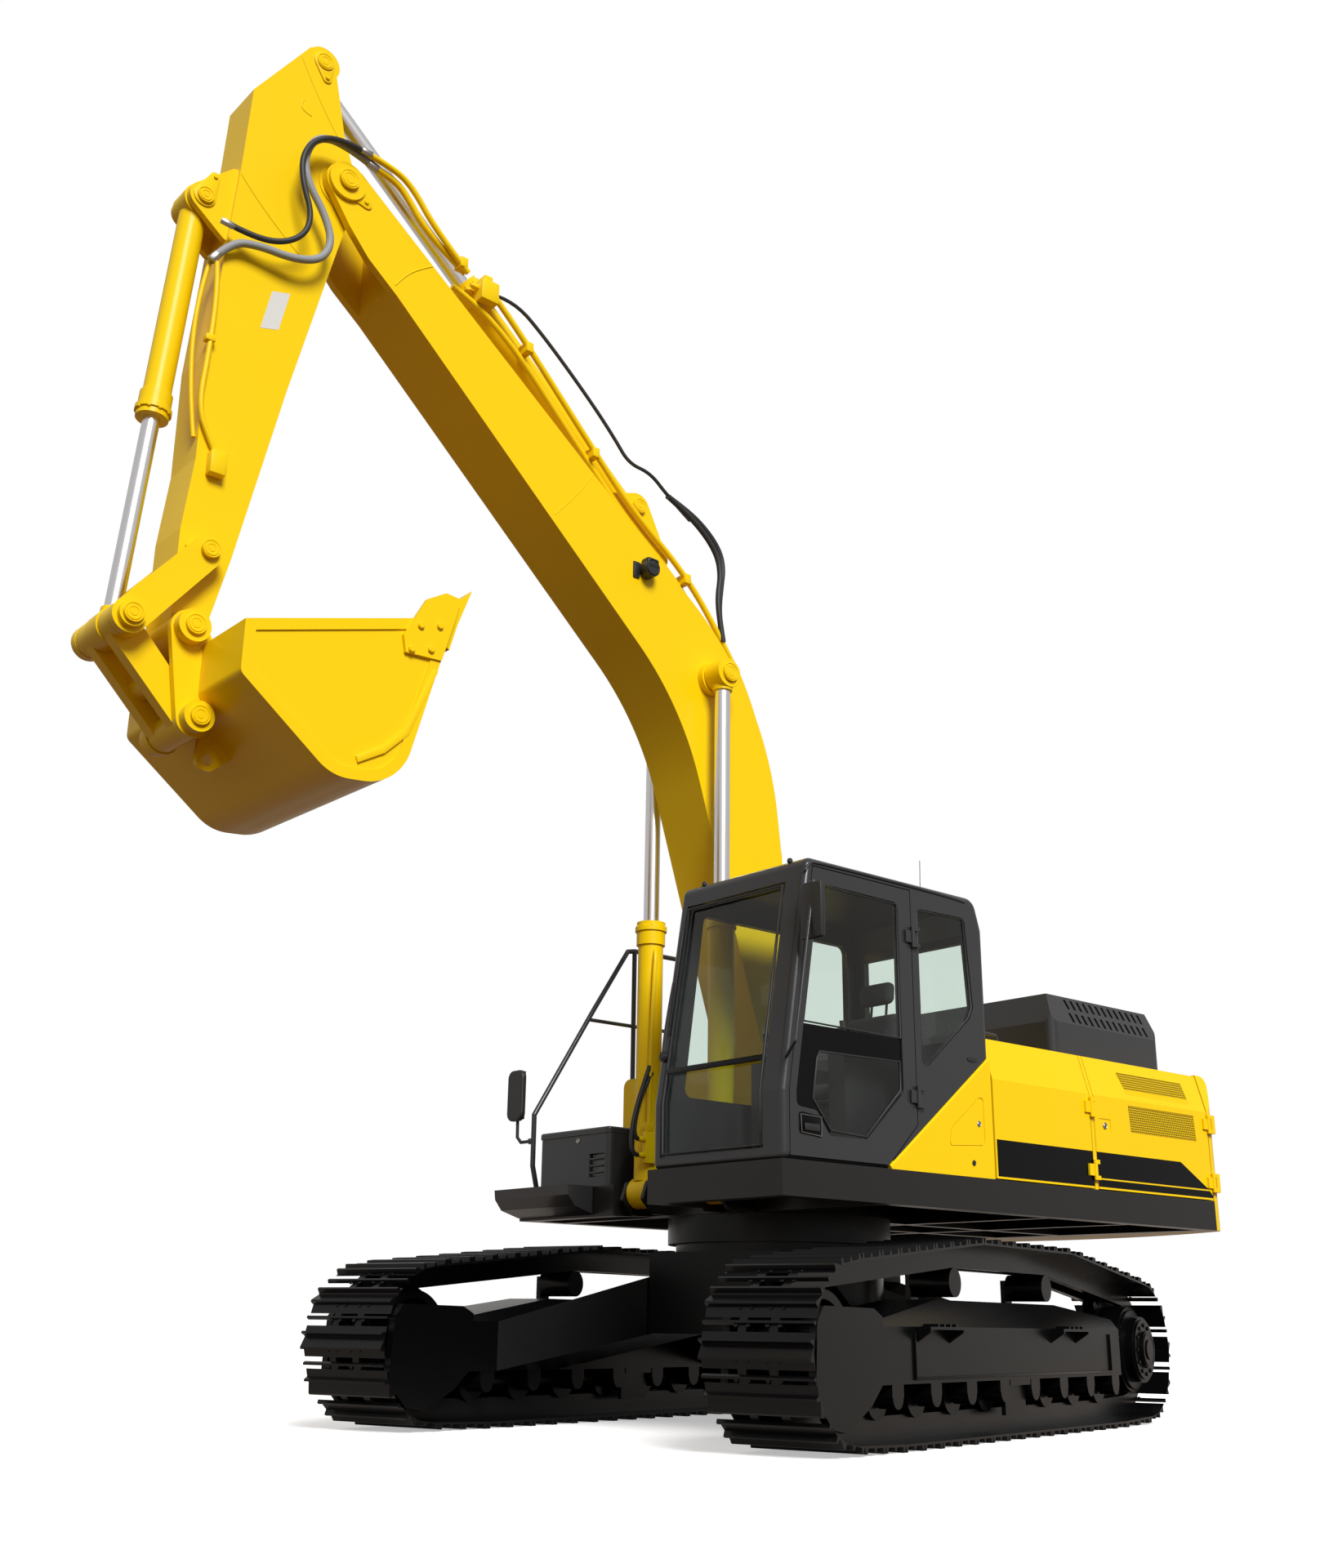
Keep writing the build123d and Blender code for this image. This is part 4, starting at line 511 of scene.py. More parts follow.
# %% More finishes
MATERIALS["gloss_black"] = enamel("gloss_black", (0.002, 0.002, 0.0025), 0.0, 0.16, 0.24, 0.12)
MATERIALS["rubber"] = ripple(principled("hose_rubber", (0.010, 0.010, 0.011), 0.55), 300.0, 0.0005)
MATERIALS["grey_hose"] = ripple(principled("wrapped_hose", (0.27, 0.28, 0.29), 0.60), 420.0, 0.0010)
MATERIALS["mirror_glass"] = principled("mirror_glass", (0.10, 0.11, 0.12), 0.06, 1.0)
MATERIALS["red_lens"] = principled("red_lens", (0.35, 0.012, 0.010), 0.18)
MATERIALS["white_label"] = ripple(principled("blank_label", (0.62, 0.62, 0.60), 0.40), 200.0, 0.0002)
MATERIALS["lamp_lens"] = principled("lamp_lens", (0.55, 0.57, 0.58), 0.10, 0.6)
MATERIALS["bright_edge"] = principled("bright_edge", (0.30, 0.31, 0.32), 0.30, 1.0)

# %% [markdown]
# ## Stripes
# The house stripe is cut from self-adhesive foil, so each side door carries its own strip and the two
# part with the doors. It lies a millimetre proud of the paint, with its rear end cut off at a slant.

# %% House stripe
FOIL = 1.2                # thickness in millimetres
FOILS = [
    ("left_middle_door", "stripe_front", [(-310, 1404), (-1235, 1404), (-1235, 1613), (-310, 1613)]),
    ("left_rear_door", "stripe_rear", [(-1277, 1457), (-2490, 1457), (-2187, 1613), (-1277, 1613)]),
    ("left_rear_door", "stripe_foot",
     [(-1277, 1404), (-2532, 1404), (-2532, 1420), (-2500, 1447), (-1277, 1447)]),
]
for door, name, corners in FOILS:
    face = skin(-700 if "middle" in door else -1900, 1540)[0]
    foil = flat([at(x, face + 0.2, z) for x, z in corners], OUT * FOIL / 1000)
    settle(foil, name, door, "chassis_black", MATERIALS["gloss_black"])
print("foils", len(FOILS))

# %% [markdown]
# ## Grilles of the rear door
# The radiator breathes through punched yellow sheet. A grid is modelled as a punch would cut it: each
# cell is inset and its inner face taken out, and a black sheet behind it, painted shade for the dark
# space behind the holes, is what shows through them.

# %% Punched grilles
GRILLE_PITCH = 15.0
GRILLE_FIELDS = [
    ("lower", [(-2393, 1762), (-1662, 1762), (-1648, 1921), (-2378, 1921)]),
    ("upper", [(-2358, 1999), (-1652, 1999), (-1607, 2136), (-2323, 2136)]),
]


def grille(name, corners):
    """One punched field with its black backing of painted shade, on the skin of the rear door."""
    left_low, right_low, right_top, left_top = corners
    wide = max(2, round((right_low[0] - left_low[0]) / GRILLE_PITCH))
    high = max(2, round((left_top[1] - left_low[1]) / GRILLE_PITCH))
    depths = [skin(sum(c[0] for c in corners) / 4, z)[0] for z in (left_low[1] + 8, left_top[1] - 8)]
    begin()
    bpy.ops.mesh.primitive_grid_add(x_subdivisions=wide, y_subdivisions=high, size=1)
    sheet = bpy.context.object
    for vertex in sheet.data.vertices:
        u, v = vertex.co.x + 0.5, vertex.co.y + 0.5
        low_x = left_low[0] * (1 - u) + right_low[0] * u
        top_x = left_top[0] * (1 - u) + right_top[0] * u
        x = low_x * (1 - v) + top_x * v
        z = left_low[1] + (left_top[1] - left_low[1]) * v
        vertex.co = at(x, depths[0] + (depths[1] - depths[0]) * v + 3.0, z)
    edit_all()
    bpy.ops.mesh.inset(thickness=0.0019, use_individual=True)
    bpy.ops.mesh.delete(type="FACE")
    bpy.ops.mesh.select_all(action="SELECT")
    bpy.ops.mesh.normals_make_consistent(inside=False)
    bpy.ops.object.mode_set(mode="OBJECT")
    wall = sheet.modifiers.new("wall", "SOLIDIFY")
    wall.thickness = 0.0015
    bpy.ops.object.modifier_apply(modifier="wall")
    settle(sheet, "grille_" + name, "left_rear_door", "yellow")
    # The black backing is painted shade for the dark space behind the holes.
    back = []
    for (x, z), depth in zip(corners, (depths[0], depths[0], depths[1], depths[1])):
        back.append(at(x, depth + 0.4, z))
    settle(flat(back, OUT * 0.0008), "grille_painted_shade_" + name, "left_rear_door", "chassis_black")
    return wide * high


print("holes", [grille(name, corners) for name, corners in GRILLE_FIELDS])

# %% [markdown]
# ## Locks, pulls and small marks of the house
# Each is a small bought part. They are modelled once as what they are, a ring with a key slot or a pull
# in its cup. The key slot is a black block, painted shade for the hole.

# %% Locks
LOCKS = [(-1386, 1778, 20), (-157, 1687, 17)]
for number, (x, z, radius) in enumerate(LOCKS):
    face, body = skin(x, z)
    lock = turned(at(x, face, z), OUT, radius / 1000, 0.004, steps=((0.004, -0.002), (0.005, 0.003)))
    settle(lock, f"lock_{number}", body, "steel")
    # The key slot is a black block on the lock face: painted shade for the hole.
    slot = block(at(x - 2, face + 4, z - 8), at(x + 2, face + 5.6, z + 8), 0.0006)
    settle(slot, f"keyhole_painted_shade_{number}", body, "chassis_black")
button = turned(at(-94, skin(-94, 1463)[0], 1463), OUT, 0.016, 0.005, steps=((0.005, -0.002),))
settle(button, "panel_button", "house", "black_plastic")
latch_y = skin(-123, 2052)[0]
oval = []
for step in range(16):
    angle = step * math.pi / 8
    oval.append(at(-123 + 46 * math.cos(angle), latch_y, 2052 + 17 * math.sin(angle)))
latch = flat(oval, OUT * 0.005, 0.0015)
settle(latch, "cab_latch_slot", "house", "black_plastic")
grab = tube([at(-320, 1330, 2200), at(-320, 1330, 2252), at(-335, 1330, 2262), at(-545, 1330, 2262),
             at(-560, 1330, 2252),
             at(-560, 1330, 2200)], 0.011)
settle(grab, "cover_grab_bar", "house", "dark_grey")

# %% [markdown]
# ## The cab
# A cab door is one big pane with a black printed band where the two openings part, and rubber beads
# round every opening. The front is split into an upper and a lower pane by a dark rail, and a wiper
# parks beside it.

# %% Door band and rubber beads
DOOR_BAND = [(484, 2100), (1264, 2100), (1318, 1742), (1318, 1665), (1168, 1652), (1082, 1530), (1064, 1546),
             (1196, 1712), (1160, 1926), (1138, 1968), (499, 1980), (484, 1980)]
door_y = skin(900, 2300)[0]
band = flat([at(x, door_y + 0.3, z) for x, z in DOOR_BAND], OUT * 0.0012)
settle(band, "door_black_band", "cab_door", "chassis_black", MATERIALS["gloss_black"])
BEADS = {
    "door_upper_bead": ("cab_door", [(486, 2876), (1124, 2881), (1256, 2112), (486, 2106)]),
    "door_lower_bead": ("cab_door",
                        [(499, 1974), (1136, 1962), (1158, 1922), (1194, 1714), (1064, 1552), (790, 1540),
                         (499, 1815)]),
    "rear_window_bead": ("house", [(312, 2873), (-101, 2882), (-146, 2357), (-108, 2290), (312, 1942)]),
}
for name, (body, corners) in BEADS.items():
    middle = tuple(sum(values) / len(corners) for values in zip(*corners))
    level = skin(*middle)[0]
    bead = tube([at(x, level + 2, z) for x, z in corners], 0.007, cyclic=True, straight=True)
    settle(bead, name, body, "black_plastic", MATERIALS["rubber"], 60)

# %% Door handle
handle_y = skin(1225, 1600)[0]
cup = flat([at(x, handle_y, z) for x,
            z in ((1144, 1508), (1296, 1520), (1306, 1534), (1306, 1624), (1290, 1632), (1140, 1620))],
           OUT * 0.007, 0.003)
settle(cup, "door_handle_cup", "cab_door", "chassis_black", MATERIALS["gloss_black"])
pull = block(at(1168, handle_y + 7, 1536), at(1280, handle_y + 20, 1574), 0.006)
settle(pull, "door_handle", "cab_door", "black_plastic")
trim = tube([at(x, handle_y + 7, z) for x, z in ((1150, 1514), (1294, 1526), (1300, 1618), (1146, 1612))],
            0.0035,
            cyclic=True, straight=True)
settle(trim, "door_handle_trim", "cab_door", "steel", MATERIALS["bright_edge"])

# %% [markdown]
# ## The cab's front
# The windscreen leans back above its bend. Rail, bead and wiper could be drawn upright and tilted, but
# they follow one function for how far ahead the front reaches at a height, so that they keep to the
# glass.

# %% Front rail, windscreen bead and wiper
ROOF_FRONT, CAB_FRONT, CAB_BEND, CAB_ROOF = 1215, 1425, 1740, 3030


def front_x(z):
    """How far ahead the cab's front reaches at a height."""
    return CAB_FRONT - (CAB_FRONT - ROOF_FRONT) / (CAB_ROOF - CAB_BEND) * max(z - CAB_BEND, 0)


SCREEN = [(540, 1462), (1320, 1462), (1320, 1740), (1320, 2885), (540, 2885), (540, 1740)]
edge_places = [at(front_x(z) + 1, y, z) for y, z in SCREEN]
screen_bead = tube(edge_places, 0.009, cyclic=True, straight=True)
settle(screen_bead, "windscreen_bead", "house", "black_plastic", MATERIALS["rubber"], 60)
rail = block(at(front_x(1905) - 12, 540, 1905), at(front_x(1905) + 6, 1320, 1937), 0.005)
settle(rail, "windscreen_rail", "house", "chassis_black")
wiper_foot = at(front_x(2010) + 22, 505, 2010)
pivot = turned(at(front_x(2010) - 6, 505, 2010), AHEAD, 0.030, 0.030, steps=((0.010, 0.008),))
arm_rod = tube([wiper_foot, at(front_x(2120) + 34, 500, 2120), at(front_x(2440) + 26, 515, 2440)], 0.006)
blade = block(at(front_x(2130) + 6, 520, 2130), at(front_x(2130) + 22, 534, 2760), 0.004)
for vertex in blade.data.vertices:
    height = vertex.co.z * 1000
    vertex.co.x += (front_x(height) - front_x(2130)) / 1000
settle(joined([pivot, arm_rod, blade]), "wiper", "house", "black_plastic")

# %% Aerial, roof rails, marker and mirror glasses
aerial = tube([at(-150, 1120, 3020), at(-152, 1120, 3130), at(-160, 1120, 3330)], 0.0022)
foot = turned(at(-150, 1120, 3020), UP, 0.014, 0.030, steps=((0.006, 0.012),))
settle(joined([aerial, foot]), "roof_aerial", "house", "black_plastic")
gutter_y = skin(700, 2995)[0]
gutter = tube([at(1230, gutter_y, 2940), at(1205, gutter_y + 4, 2992), at(1140, gutter_y + 4, 3004),
               at(0, gutter_y + 4, 3004),
               at(-120, gutter_y + 2, 2990)], 0.008)
settle(gutter, "rain_gutter", "house", "dark_grey")
knobs = [turned(at(1190, y, 3024), UP, 0.016, 0.018, steps=((0.005, 0.006),)) for y in (620, 1330)]
settle(joined(knobs), "roof_front_knobs", "house", "dark_grey")
mirror_back = block(at(1305, 1551, 2521), at(1345, 1709, 2829), 0.016)
settle(mirror_back, "cab_mirror_back", "house", "black_plastic")
cab_mirror = flat([at(1304.6, y, z) for y, z in ((1562, 2532), (1698, 2532), (1698, 2818), (1562, 2818))],
                  AHEAD * -0.002)
settle(cab_mirror, "cab_mirror_glass", "house", "glass", MATERIALS["mirror_glass"])
deck_mirror = flat([at(881.6, y, z) for y,
                    z in ((-1676, 1868), (-1524, 1868), (-1524, 2188), (-1676, 2188))], AHEAD * -0.002)
settle(deck_mirror, "deck_mirror_glass", "house", "glass", MATERIALS["mirror_glass"])

# %% [markdown]
# ## The right front
# The storage box carries a work lamp behind three slots, drawn as dark grey strips of painted shade.
# Beside it a yellow holding valve sits on the foot of the boom cylinder, with a pipe up to the gland and
# two short hoses; all of it swings with the barrel.

# %% Lamp slots of painted shade and box lock
BOX_FRONT = 907
# Three dark grey strips on the box front: painted shade for the slots in front of the lamp.
bars = [block(at(BOX_FRONT - 6, -766, z), at(BOX_FRONT + 1, -628, z + 10), 0.003) for z in (1466, 1508,
                                                                                            1550)]
settle(joined(bars), "lamp_slot_shades", "house", "dark_grey")
box_lock = turned(at(BOX_FRONT, -892, 1677), AHEAD, 0.018, 0.005, steps=((0.005, -0.002),))
settle(box_lock, "box_lock", "house", "steel")

# %% Holding valve, pipe and hoses of the right boom cylinder
VALVE_Y = -241            # between the barrel and the boom, which passes close beside it
valve = [block(at(815, VALVE_Y - 24, 1500), at(902, VALVE_Y + 18, 1690), 0.006),
         block(at(840, VALVE_Y - 24, 1690), at(892, VALVE_Y + 16, 1745), 0.006)]
for z in (1545, 1640):
    valve.append(turned(at(902, VALVE_Y, z), AHEAD, 0.018, 0.034, steps=((0.004, 0.018),), sides=6))
valve.append(tube([at(868, VALVE_Y, 1740), at(868, VALVE_Y, 1900), at(856, VALVE_Y, 2300),
                   at(838, VALVE_Y, 2700),
                   at(830, VALVE_Y, 2800), at(815, VALVE_Y - 25, 2840)], 0.014))
settle(joined(valve), "cylinder_holding_valve", "boom_barrels", "yellow")
HOSES = [
    [(952, 1545), (1000, 1545), (1010, 1680), (960, 1860), (900, 2010), (868, 2090)],
    [(952, 1640), (985, 1650), (980, 1750), (940, 1880), (885, 1990), (850, 2050)],
]
hoses = [tube([at(x, VALVE_Y, z) for x, z in route], 0.014) for route in HOSES]
settle(joined(hoses), "cylinder_hoses", "boom_barrels", "black_plastic", MATERIALS["rubber"], 60)

# %% [markdown]
# ## Pins
# A pin of a digger's arm is a turned bar with a collar, held from turning by one bolt beside it. The
# collar shows as rings. One cap is modelled at each end of every pin, on whatever steel lies outermost
# there, except where the house hides that end.

# %% Pin caps
PIN_CAPS = [
    (3684, 6926, 62), (3862, 7732, 54), (4492, 6474, 48), (4300, 4322, 50), (4674, 3850, 52),
    (4336, 3892, 54),
    (4263, 3420, 52), (784, 4548, 62), (1350, 5640, 50), (801, 1334, 60),
]
PIN_REACH = 700           # beyond this the house hides the pin
RIM_OFF = 12              # how far outside the cap its seat is felt for
caps = {}
for x, z, radius in PIN_CAPS:
    for side in (1, -1):
        reach = radius + RIM_OFF
        around = [(x, z), (x + reach, z), (x - reach, z), (x, z + reach), (x, z - reach)]
        level, body = max((skin(*place, side) for place in around), key=lambda found: side * found[0])
        if abs(level) > PIN_REACH:
            continue
        cap = turned(at(x, level - side * 1, z), side * OUT, radius / 1000, 0.020,
                     steps=((0.006, -0.004), (0.005, 0.005), (0.016, -0.003), (0.004, 0.003)))
        caps.setdefault(body, []).append(cap)
for body, rings in caps.items():
    settle(joined(rings), "pin_caps_" + body, body, "yellow")
print("pin caps", {body: len(PIN_CAPS) for body in caps})

# %% Keeper plates
KEEPER_PLATES = [
    ((3684, 6926, 84), (3540, 6845, 34)),
    ((3862, 7732, 68), (3838, 7626, 30)),
    ((4492, 6474, 64), (4445, 6622, 28)),
]
plates = {}
for pin, keeper in KEEPER_PLATES:
    rims = []
    for x, z, r in (pin, keeper):
        rims += [(x + r * math.cos(t * math.pi / 12), z + r * math.sin(t * math.pi / 12)) for t in range(24)]
    outline = [rims[i] for i in geometry.convex_hull_2d(rims)]
    for side in (1, -1):
        level, body = skin(keeper[0], keeper[1], side)
        keeper_plate = flat([at(x, level, z) for x, z in outline], OUT * side * 0.010, 0.002)
        plates.setdefault(body, []).append(keeper_plate)
for body, pieces in plates.items():
    settle(joined(pieces), "keeper_plates_" + body, body, "yellow")

# %% Keeper bolts
KEEPER_PLATE = 10         # the plate under the three larger bolts
LARGER = 11
KEEPERS = [(3547, 6849, 14), (3838, 7626, 14), (4445, 6619, 13), (4380, 4362, 11), (4250, 3862, 11)]
keepers = {}
for x, z, radius in KEEPERS:
    for side in (1, -1):
        level, body = skin(x, z, side)
        place = facing(at(x, level + side * KEEPER_PLATE * (radius > LARGER), z), side * OUT)
        keepers.setdefault(body, []).append(repeated(bolt(radius / 1000), [place]))
for body, heads in keepers.items():
    settle(joined(heads), "keeper_bolts_" + body, body, "yellow")

# %% [markdown]
# ## Cylinders
# The rods are chrome but their eyes are painted with the arms, so each eye gets a thin painted sleeve.
# The gland at the mouth of a barrel is a bolted flange.

# %% Painted eyes and gland bolts
CYLINDERS = [
    ("boom_rods", "boom_barrels", (801, 1334), (784, 4548), 1690, 80, 50, (-335, 335)),
    ("arm_rod", "arm_barrel", (1350, 5640), (3862, 7732), 1780, 88, 53, (0,)),
    ("bucket_rod", "bucket_barrel", (4492, 6474), (4674, 3850), 1390, 75, 46, (0,)),
]
EYE_RADIUS, EYE_HALF = 95, 68
NECK_START = 112          # from the eye's middle, along the rod
FLANGE_BACK = 62          # from the barrel's mouth
for rod_body, barrel_body, base, tip, gland, barrel_radius, rod_radius, middles in CYLINDERS:
    way = Vector((tip[0] - base[0], 0, tip[1] - base[1])).normalized()
    eyes, heads = [], []
    for middle in middles:
        eyes.append(turned(at(tip[0], middle - EYE_HALF - 0.8, tip[1]), OUT, (EYE_RADIUS + 1.5) / 1000,
                           (2 * EYE_HALF + 1.6) / 1000, sides=48))
        neck_x, neck_z = toward(tip, base, NECK_START)
        eyes.append(turned(at(neck_x, middle, neck_z), way, (rod_radius + 14) / 1000, 0.036,
                           steps=((0.004, 0.006),), sides=40))
        mouth_x, mouth_z = toward(base, tip, gland)
        flange_x, flange_z = toward(base, tip, gland - FLANGE_BACK)
        heads.append(turned(at(flange_x, middle, flange_z), way, (barrel_radius + 22) / 1000, 0.030,
                            sides=40))
        bolts = ring(at(mouth_x, middle, mouth_z) - way * 0.033, way, (barrel_radius + 13) / 1000 + 0.002,
                     10)
        heads.append(repeated(bolt(0.009), bolts))
    settle(joined(eyes), "painted_eyes_" + rod_body, rod_body, "yellow")
    settle(joined(heads), "gland_flange_" + barrel_body, barrel_body, "yellow")
print("cylinders", len(CYLINDERS))

# %% [markdown]
# ## Pipes and hoses of the boom
# Steel pipes, painted with the boom, run along its back to the valve block at its nose; rubber hoses
# join them where the arms bend. Each pipe follows a route measured from the side of the boom and stands
# on small clamps.

# %% Boom pipes
BOOM_PIPES = [
    ([(127, 3479), (218, 4059), (420, 4560), (610, 4845), (951, 5253), (1424, 5567), (1749, 5882),
      (2514, 6633), (2619, 6700)], 170, 20),
    ([(250, 4010), (440, 4500), (640, 4800), (960, 5190), (1440, 5520), (1790, 5850), (2560, 6590),
      (2858, 6640)], 120, 20),
    ([(2858, 6660), (3140, 6800), (3315, 7019), (3423, 7071), (3529, 7082)], 262, 21),
    ([(2858, 6640), (3110, 6830), (3280, 7040), (3420, 7110), (3600, 7120)], 300, 19),
]
pipes = [tube([at(x, y, z) for x, z in route], radius / 1000) for route, y, radius in BOOM_PIPES]
settle(joined(pipes), "boom_pipes", "boom", "yellow", angle=60)
clamps = []
for x, z, low, high in ((960, 5235, 95, 195), (1749, 5878, 95, 195), (2300, 6420, 95, 195),
                        (2900, 6700, 240, 320)):
    clamps.append(block(at(x - 26, low, z - 42), at(x + 26, high, z + 26), 0.006))
settle(joined(clamps), "pipe_clamps", "boom", "yellow")

# %% Boom valve block, hoses and work light
valve = [block(at(2560, 60, 6600), at(2690, 205, 6745), 0.008),
         block(at(2590, 90, 6745), at(2650, 170, 6800), 0.006)]
for y in (95, 150):
    valve.append(turned(at(2690, y, 6690), AHEAD, 0.022, 0.036, steps=((0.005, 0.018),), sides=6))
settle(joined(valve), "boom_valve_block", "boom", "yellow")
BOOM_HOSES = [
    ([(2580, 6700), (2407, 6735), (2139, 6560), (1771, 6260), (1559, 6060), (1440, 5925), (1252, 5922),
      (1107, 5811), (900, 5690)], 138, 12),
    ([(1107, 5801), (930, 5755), (763, 5672), (640, 5560), (600, 5434), (620, 5290), (640, 5120),
      (622, 4980), (602, 4850)], 142, 19),
    ([(1130, 5770), (960, 5700), (800, 5600), (690, 5480), (662, 5340), (690, 5180), (672, 5020),
      (640, 4870)], 184, 19),
]
hoses = [tube([at(x, y, z) for x, z in route], radius / 1000) for route, y, radius in BOOM_HOSES]
settle(joined(hoses), "boom_hoses", "boom", "black_plastic", MATERIALS["rubber"], 60)
light_y = skin(1459, 5093)[0]
bracket = block(at(1400, light_y, 5080), at(1450, light_y + 12, 5190), 0.003)
head = turned(at(1348, light_y + 8, 5150), OUT, 0.060, 0.070, steps=((0.008, 0.010), (0.010, -0.006)),
              sides=24)
hood = block(at(1300, light_y + 12, 5150), at(1396, light_y + 88, 5214), 0.014)
settle(joined([bracket, head, hood]), "boom_work_light", "boom", "black_plastic")

# %% [markdown]
# ## Weld seams
# The boom and the arm are boxes of welded plate. A seam could be a bump in the paint, but a thin bead
# laid half into the plate catches the light like the real one.

# %% Weld seams of the boom and arm
SEAMS = [
    ("boom", 215, [(3308, 6393), (3240, 6500), (3120, 6600), (3063, 6637)], 5),
    ("boom", 215, [(2076, 5305), (1960, 5440), (1860, 5570), (1787, 5692)], 3),
    ("arm", 150, [(4007, 7692), (3880, 7450), (3704, 7229)], 4),
    ("arm", 150, [(4306, 6703), (4100, 6480), (3860, 6323)], 4),
    ("arm", 150, [(3968, 7404), (3990, 7360), (3960, 7320), (3911, 7316)], 4),
]
for number, (body, level, route, radius) in enumerate(SEAMS):
    points = [at(x, level, z) for x, z in route]
    settle(tube(points, radius / 1000), f"weld_seam_{number}", body, "yellow", angle=60)

# %% [markdown]
# ## The arm's pipes
# Two painted steel pipes feed the bucket cylinder. They are tubes along routes like the boom's, with a
# valve and a clamp made of blocks. The label stays blank.

# %% Arm pipes, side valve and blank label
arm_pipes = [
    tube([at(x, y, z) for x, y,
          z in ((4400, 175, 6060), (4380, 178, 5900), (4390, 178, 5500), (4415, 176, 5154),
                (4330, 172, 4985),
                                      (4288, 168, 4925))], 0.015),
    tube([at(x, y, z) for x, y,
          z in ((4425, 140, 6075), (4470, 120, 5800), (4450, 110, 5300), (4400, 120, 5000))], 0.013),
]
side_y = skin(4280, 4853)[0]
arm_pipes.append(block(at(4235, side_y, 4790), at(4325, side_y + 60, 4925), 0.006))
arm_pipes.append(block(at(4365, 150, 5560), at(4420, 196, 5600), 0.005))
settle(joined(arm_pipes), "arm_pipes", "arm", "yellow", angle=60)
label_y = skin(3979, 5927)[0]
label = flat([at(x, label_y + 0.3, z) for x, z in ((4050, 6046), (3940, 6078), (3990, 5820), (4100, 5788))],
             OUT * 0.0008)
settle(label, "arm_blank_label", "arm", "chassis_black", MATERIALS["white_label"])

# %% [markdown]
# ## Hoses across the elbow
# Two hoses hang from the boom to the arm. They could ride on one of them and tear from the other, so
# each is one tube that belongs to neither body, with a steel nut at each end.

# %% Hoses from the boom to the arm
CROSSING = [
    ("grey_crossing_hose", 262, 23, "grey_hose",
     [(3529, 7082), (3740, 7145), (3920, 7100), (3990, 6930), (3950, 6760), (3830, 6610),
     (3765, 6450), (3820, 6300), (3990, 6225), (4200, 6235), (4340, 6205), (4425, 6075)]),
    ("spiral_crossing_hose", 306, 17, "rubber",
     [(3600, 7120), (3790, 7130), (3950, 7040), (4025, 6880), (4000, 6700), (3930, 6540),
     (3955, 6380), (4080, 6280), (4250, 6262), (4400, 6300)]),
]
INWARD = (30, 60, 90)     # how much nearer the arm the last three points lie
for name, y, radius, finish, route in CROSSING:
    levels = [y] * (len(route) - len(INWARD)) + [y - nearer for nearer in INWARD]
    hose = tube([at(x, level, z) for (x, z), level in zip(route, levels)], radius / 1000)
    settle(hose, name, None, "black_plastic", MATERIALS[finish], 60)
    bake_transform(hose)

# %% Hose ends
HOSE_ENDS = [
    ("arm", (4425, 172, 6075), (4340, 202, 6205), 27), ("arm", (4400, 216, 6300), (4250, 246, 6262), 21),
    ("boom", (3529, 262, 7082), (3740, 262, 7145), 27), ("boom", (3600, 306, 7120), (3790, 306, 7130), 21),
]
for number, (body, end, inward, radius) in enumerate(HOSE_ENDS):
    axis = at(*inward) - at(*end)
    nut = turned(at(*end) - axis.normalized() * 0.02, axis, radius / 1000, 0.07, steps=((0.003, 0.012),),
                 sides=6)
    settle(nut, f"hose_end_{number}", body, "steel")

# %% [markdown]
# ## Bucket
# The side cutters are bolted on so that they can be changed, and the floor wears on welded strips.

# %% Bucket bolts and wear strips
SIDE_NAMES = {1: "left", -1: "right"}
STRIP_Y = 648             # the bucket's side plate
STRIP = [(3578, 3232), (3425, 3318), (3290, 3450), (3135, 3845), (3167, 3853), (3320, 3472), (3440, 3352),
         (3590, 3266)]
for side in (1, -1):
    strip = flat([at(x, side * STRIP_Y, z) for x, z in STRIP], OUT * side * 0.015, 0.002)
    settle(strip, "wear_strip_" + SIDE_NAMES[side], "bucket", "yellow")
heads = []
for x, z in ((3268, 4066), (3150, 4096), (3316, 3917), (3197, 3948)):
    for side in (1, -1):
        level = skin(x, z, side)[0]
        heads.append(facing(at(x, level, z), side * OUT))
settle(repeated(bolt(0.020), heads), "cutter_bolts", "bucket", "yellow")

# %% [markdown]
# ## Undercarriage
# Every shoe is bolted down in the two valleys between its ribs, with four heads in each. The heads could
# be drawn one by one, but the shoes follow a belt round the wheels, so the belt is worked out again from
# the wheels' places.

# %% The belt and the places of the shoes
DRIVE_X, WHEEL_Z = -2015, 455
WHEELS = [
    (-DRIVE_X, WHEEL_Z, 344), (DRIVE_X, WHEEL_Z, 344), (-1505, 246.3, 149), (1505, 246.3, 149),
    (520, 807.7, 135.3), (-780, 807.7, 135.3),
]
GAUGE_HALF, PIN_TO_SHOE, CHAIN_PITCH = 1300, 71, 203.0


def belt():
    """The chain's pin line as a closed polygon: the hull of the wheels' circles."""
    rim = []
    for x, z, radius in WHEELS:
        rim += [(x + radius * math.cos(t * math.pi / 60),
                 z + radius * math.sin(t * math.pi / 60)) for t in range(120)]
    return [rim[i] for i in geometry.convex_hull_2d(rim)]


def shoe_places():
    """The pin, the run and the outward direction of every shoe, each as (x, z)."""
    loop = belt()
    sides = list(zip(loop, loop[1:] + loop[:1]))
    count = round(sum(math.dist(a, b) for a, b in sides) / CHAIN_PITCH)
    step = sum(math.dist(a, b) for a, b in sides) / count
    pins, travelled = [], 0.0
    for a, b in sides:
        side = math.dist(a, b)
        while len(pins) < count and len(pins) * step < travelled + side:
            pins.append(toward(a, b, len(pins) * step - travelled))
        travelled += side
    found = []
    for a, b in zip(pins, pins[1:] + pins[:1]):
        run = Vector((b[0] - a[0], b[1] - a[1])).normalized()
        found.append((a, run, Vector((run.y, -run.x))))
    return found


SHOES = shoe_places()
print("shoes a side", len(SHOES))

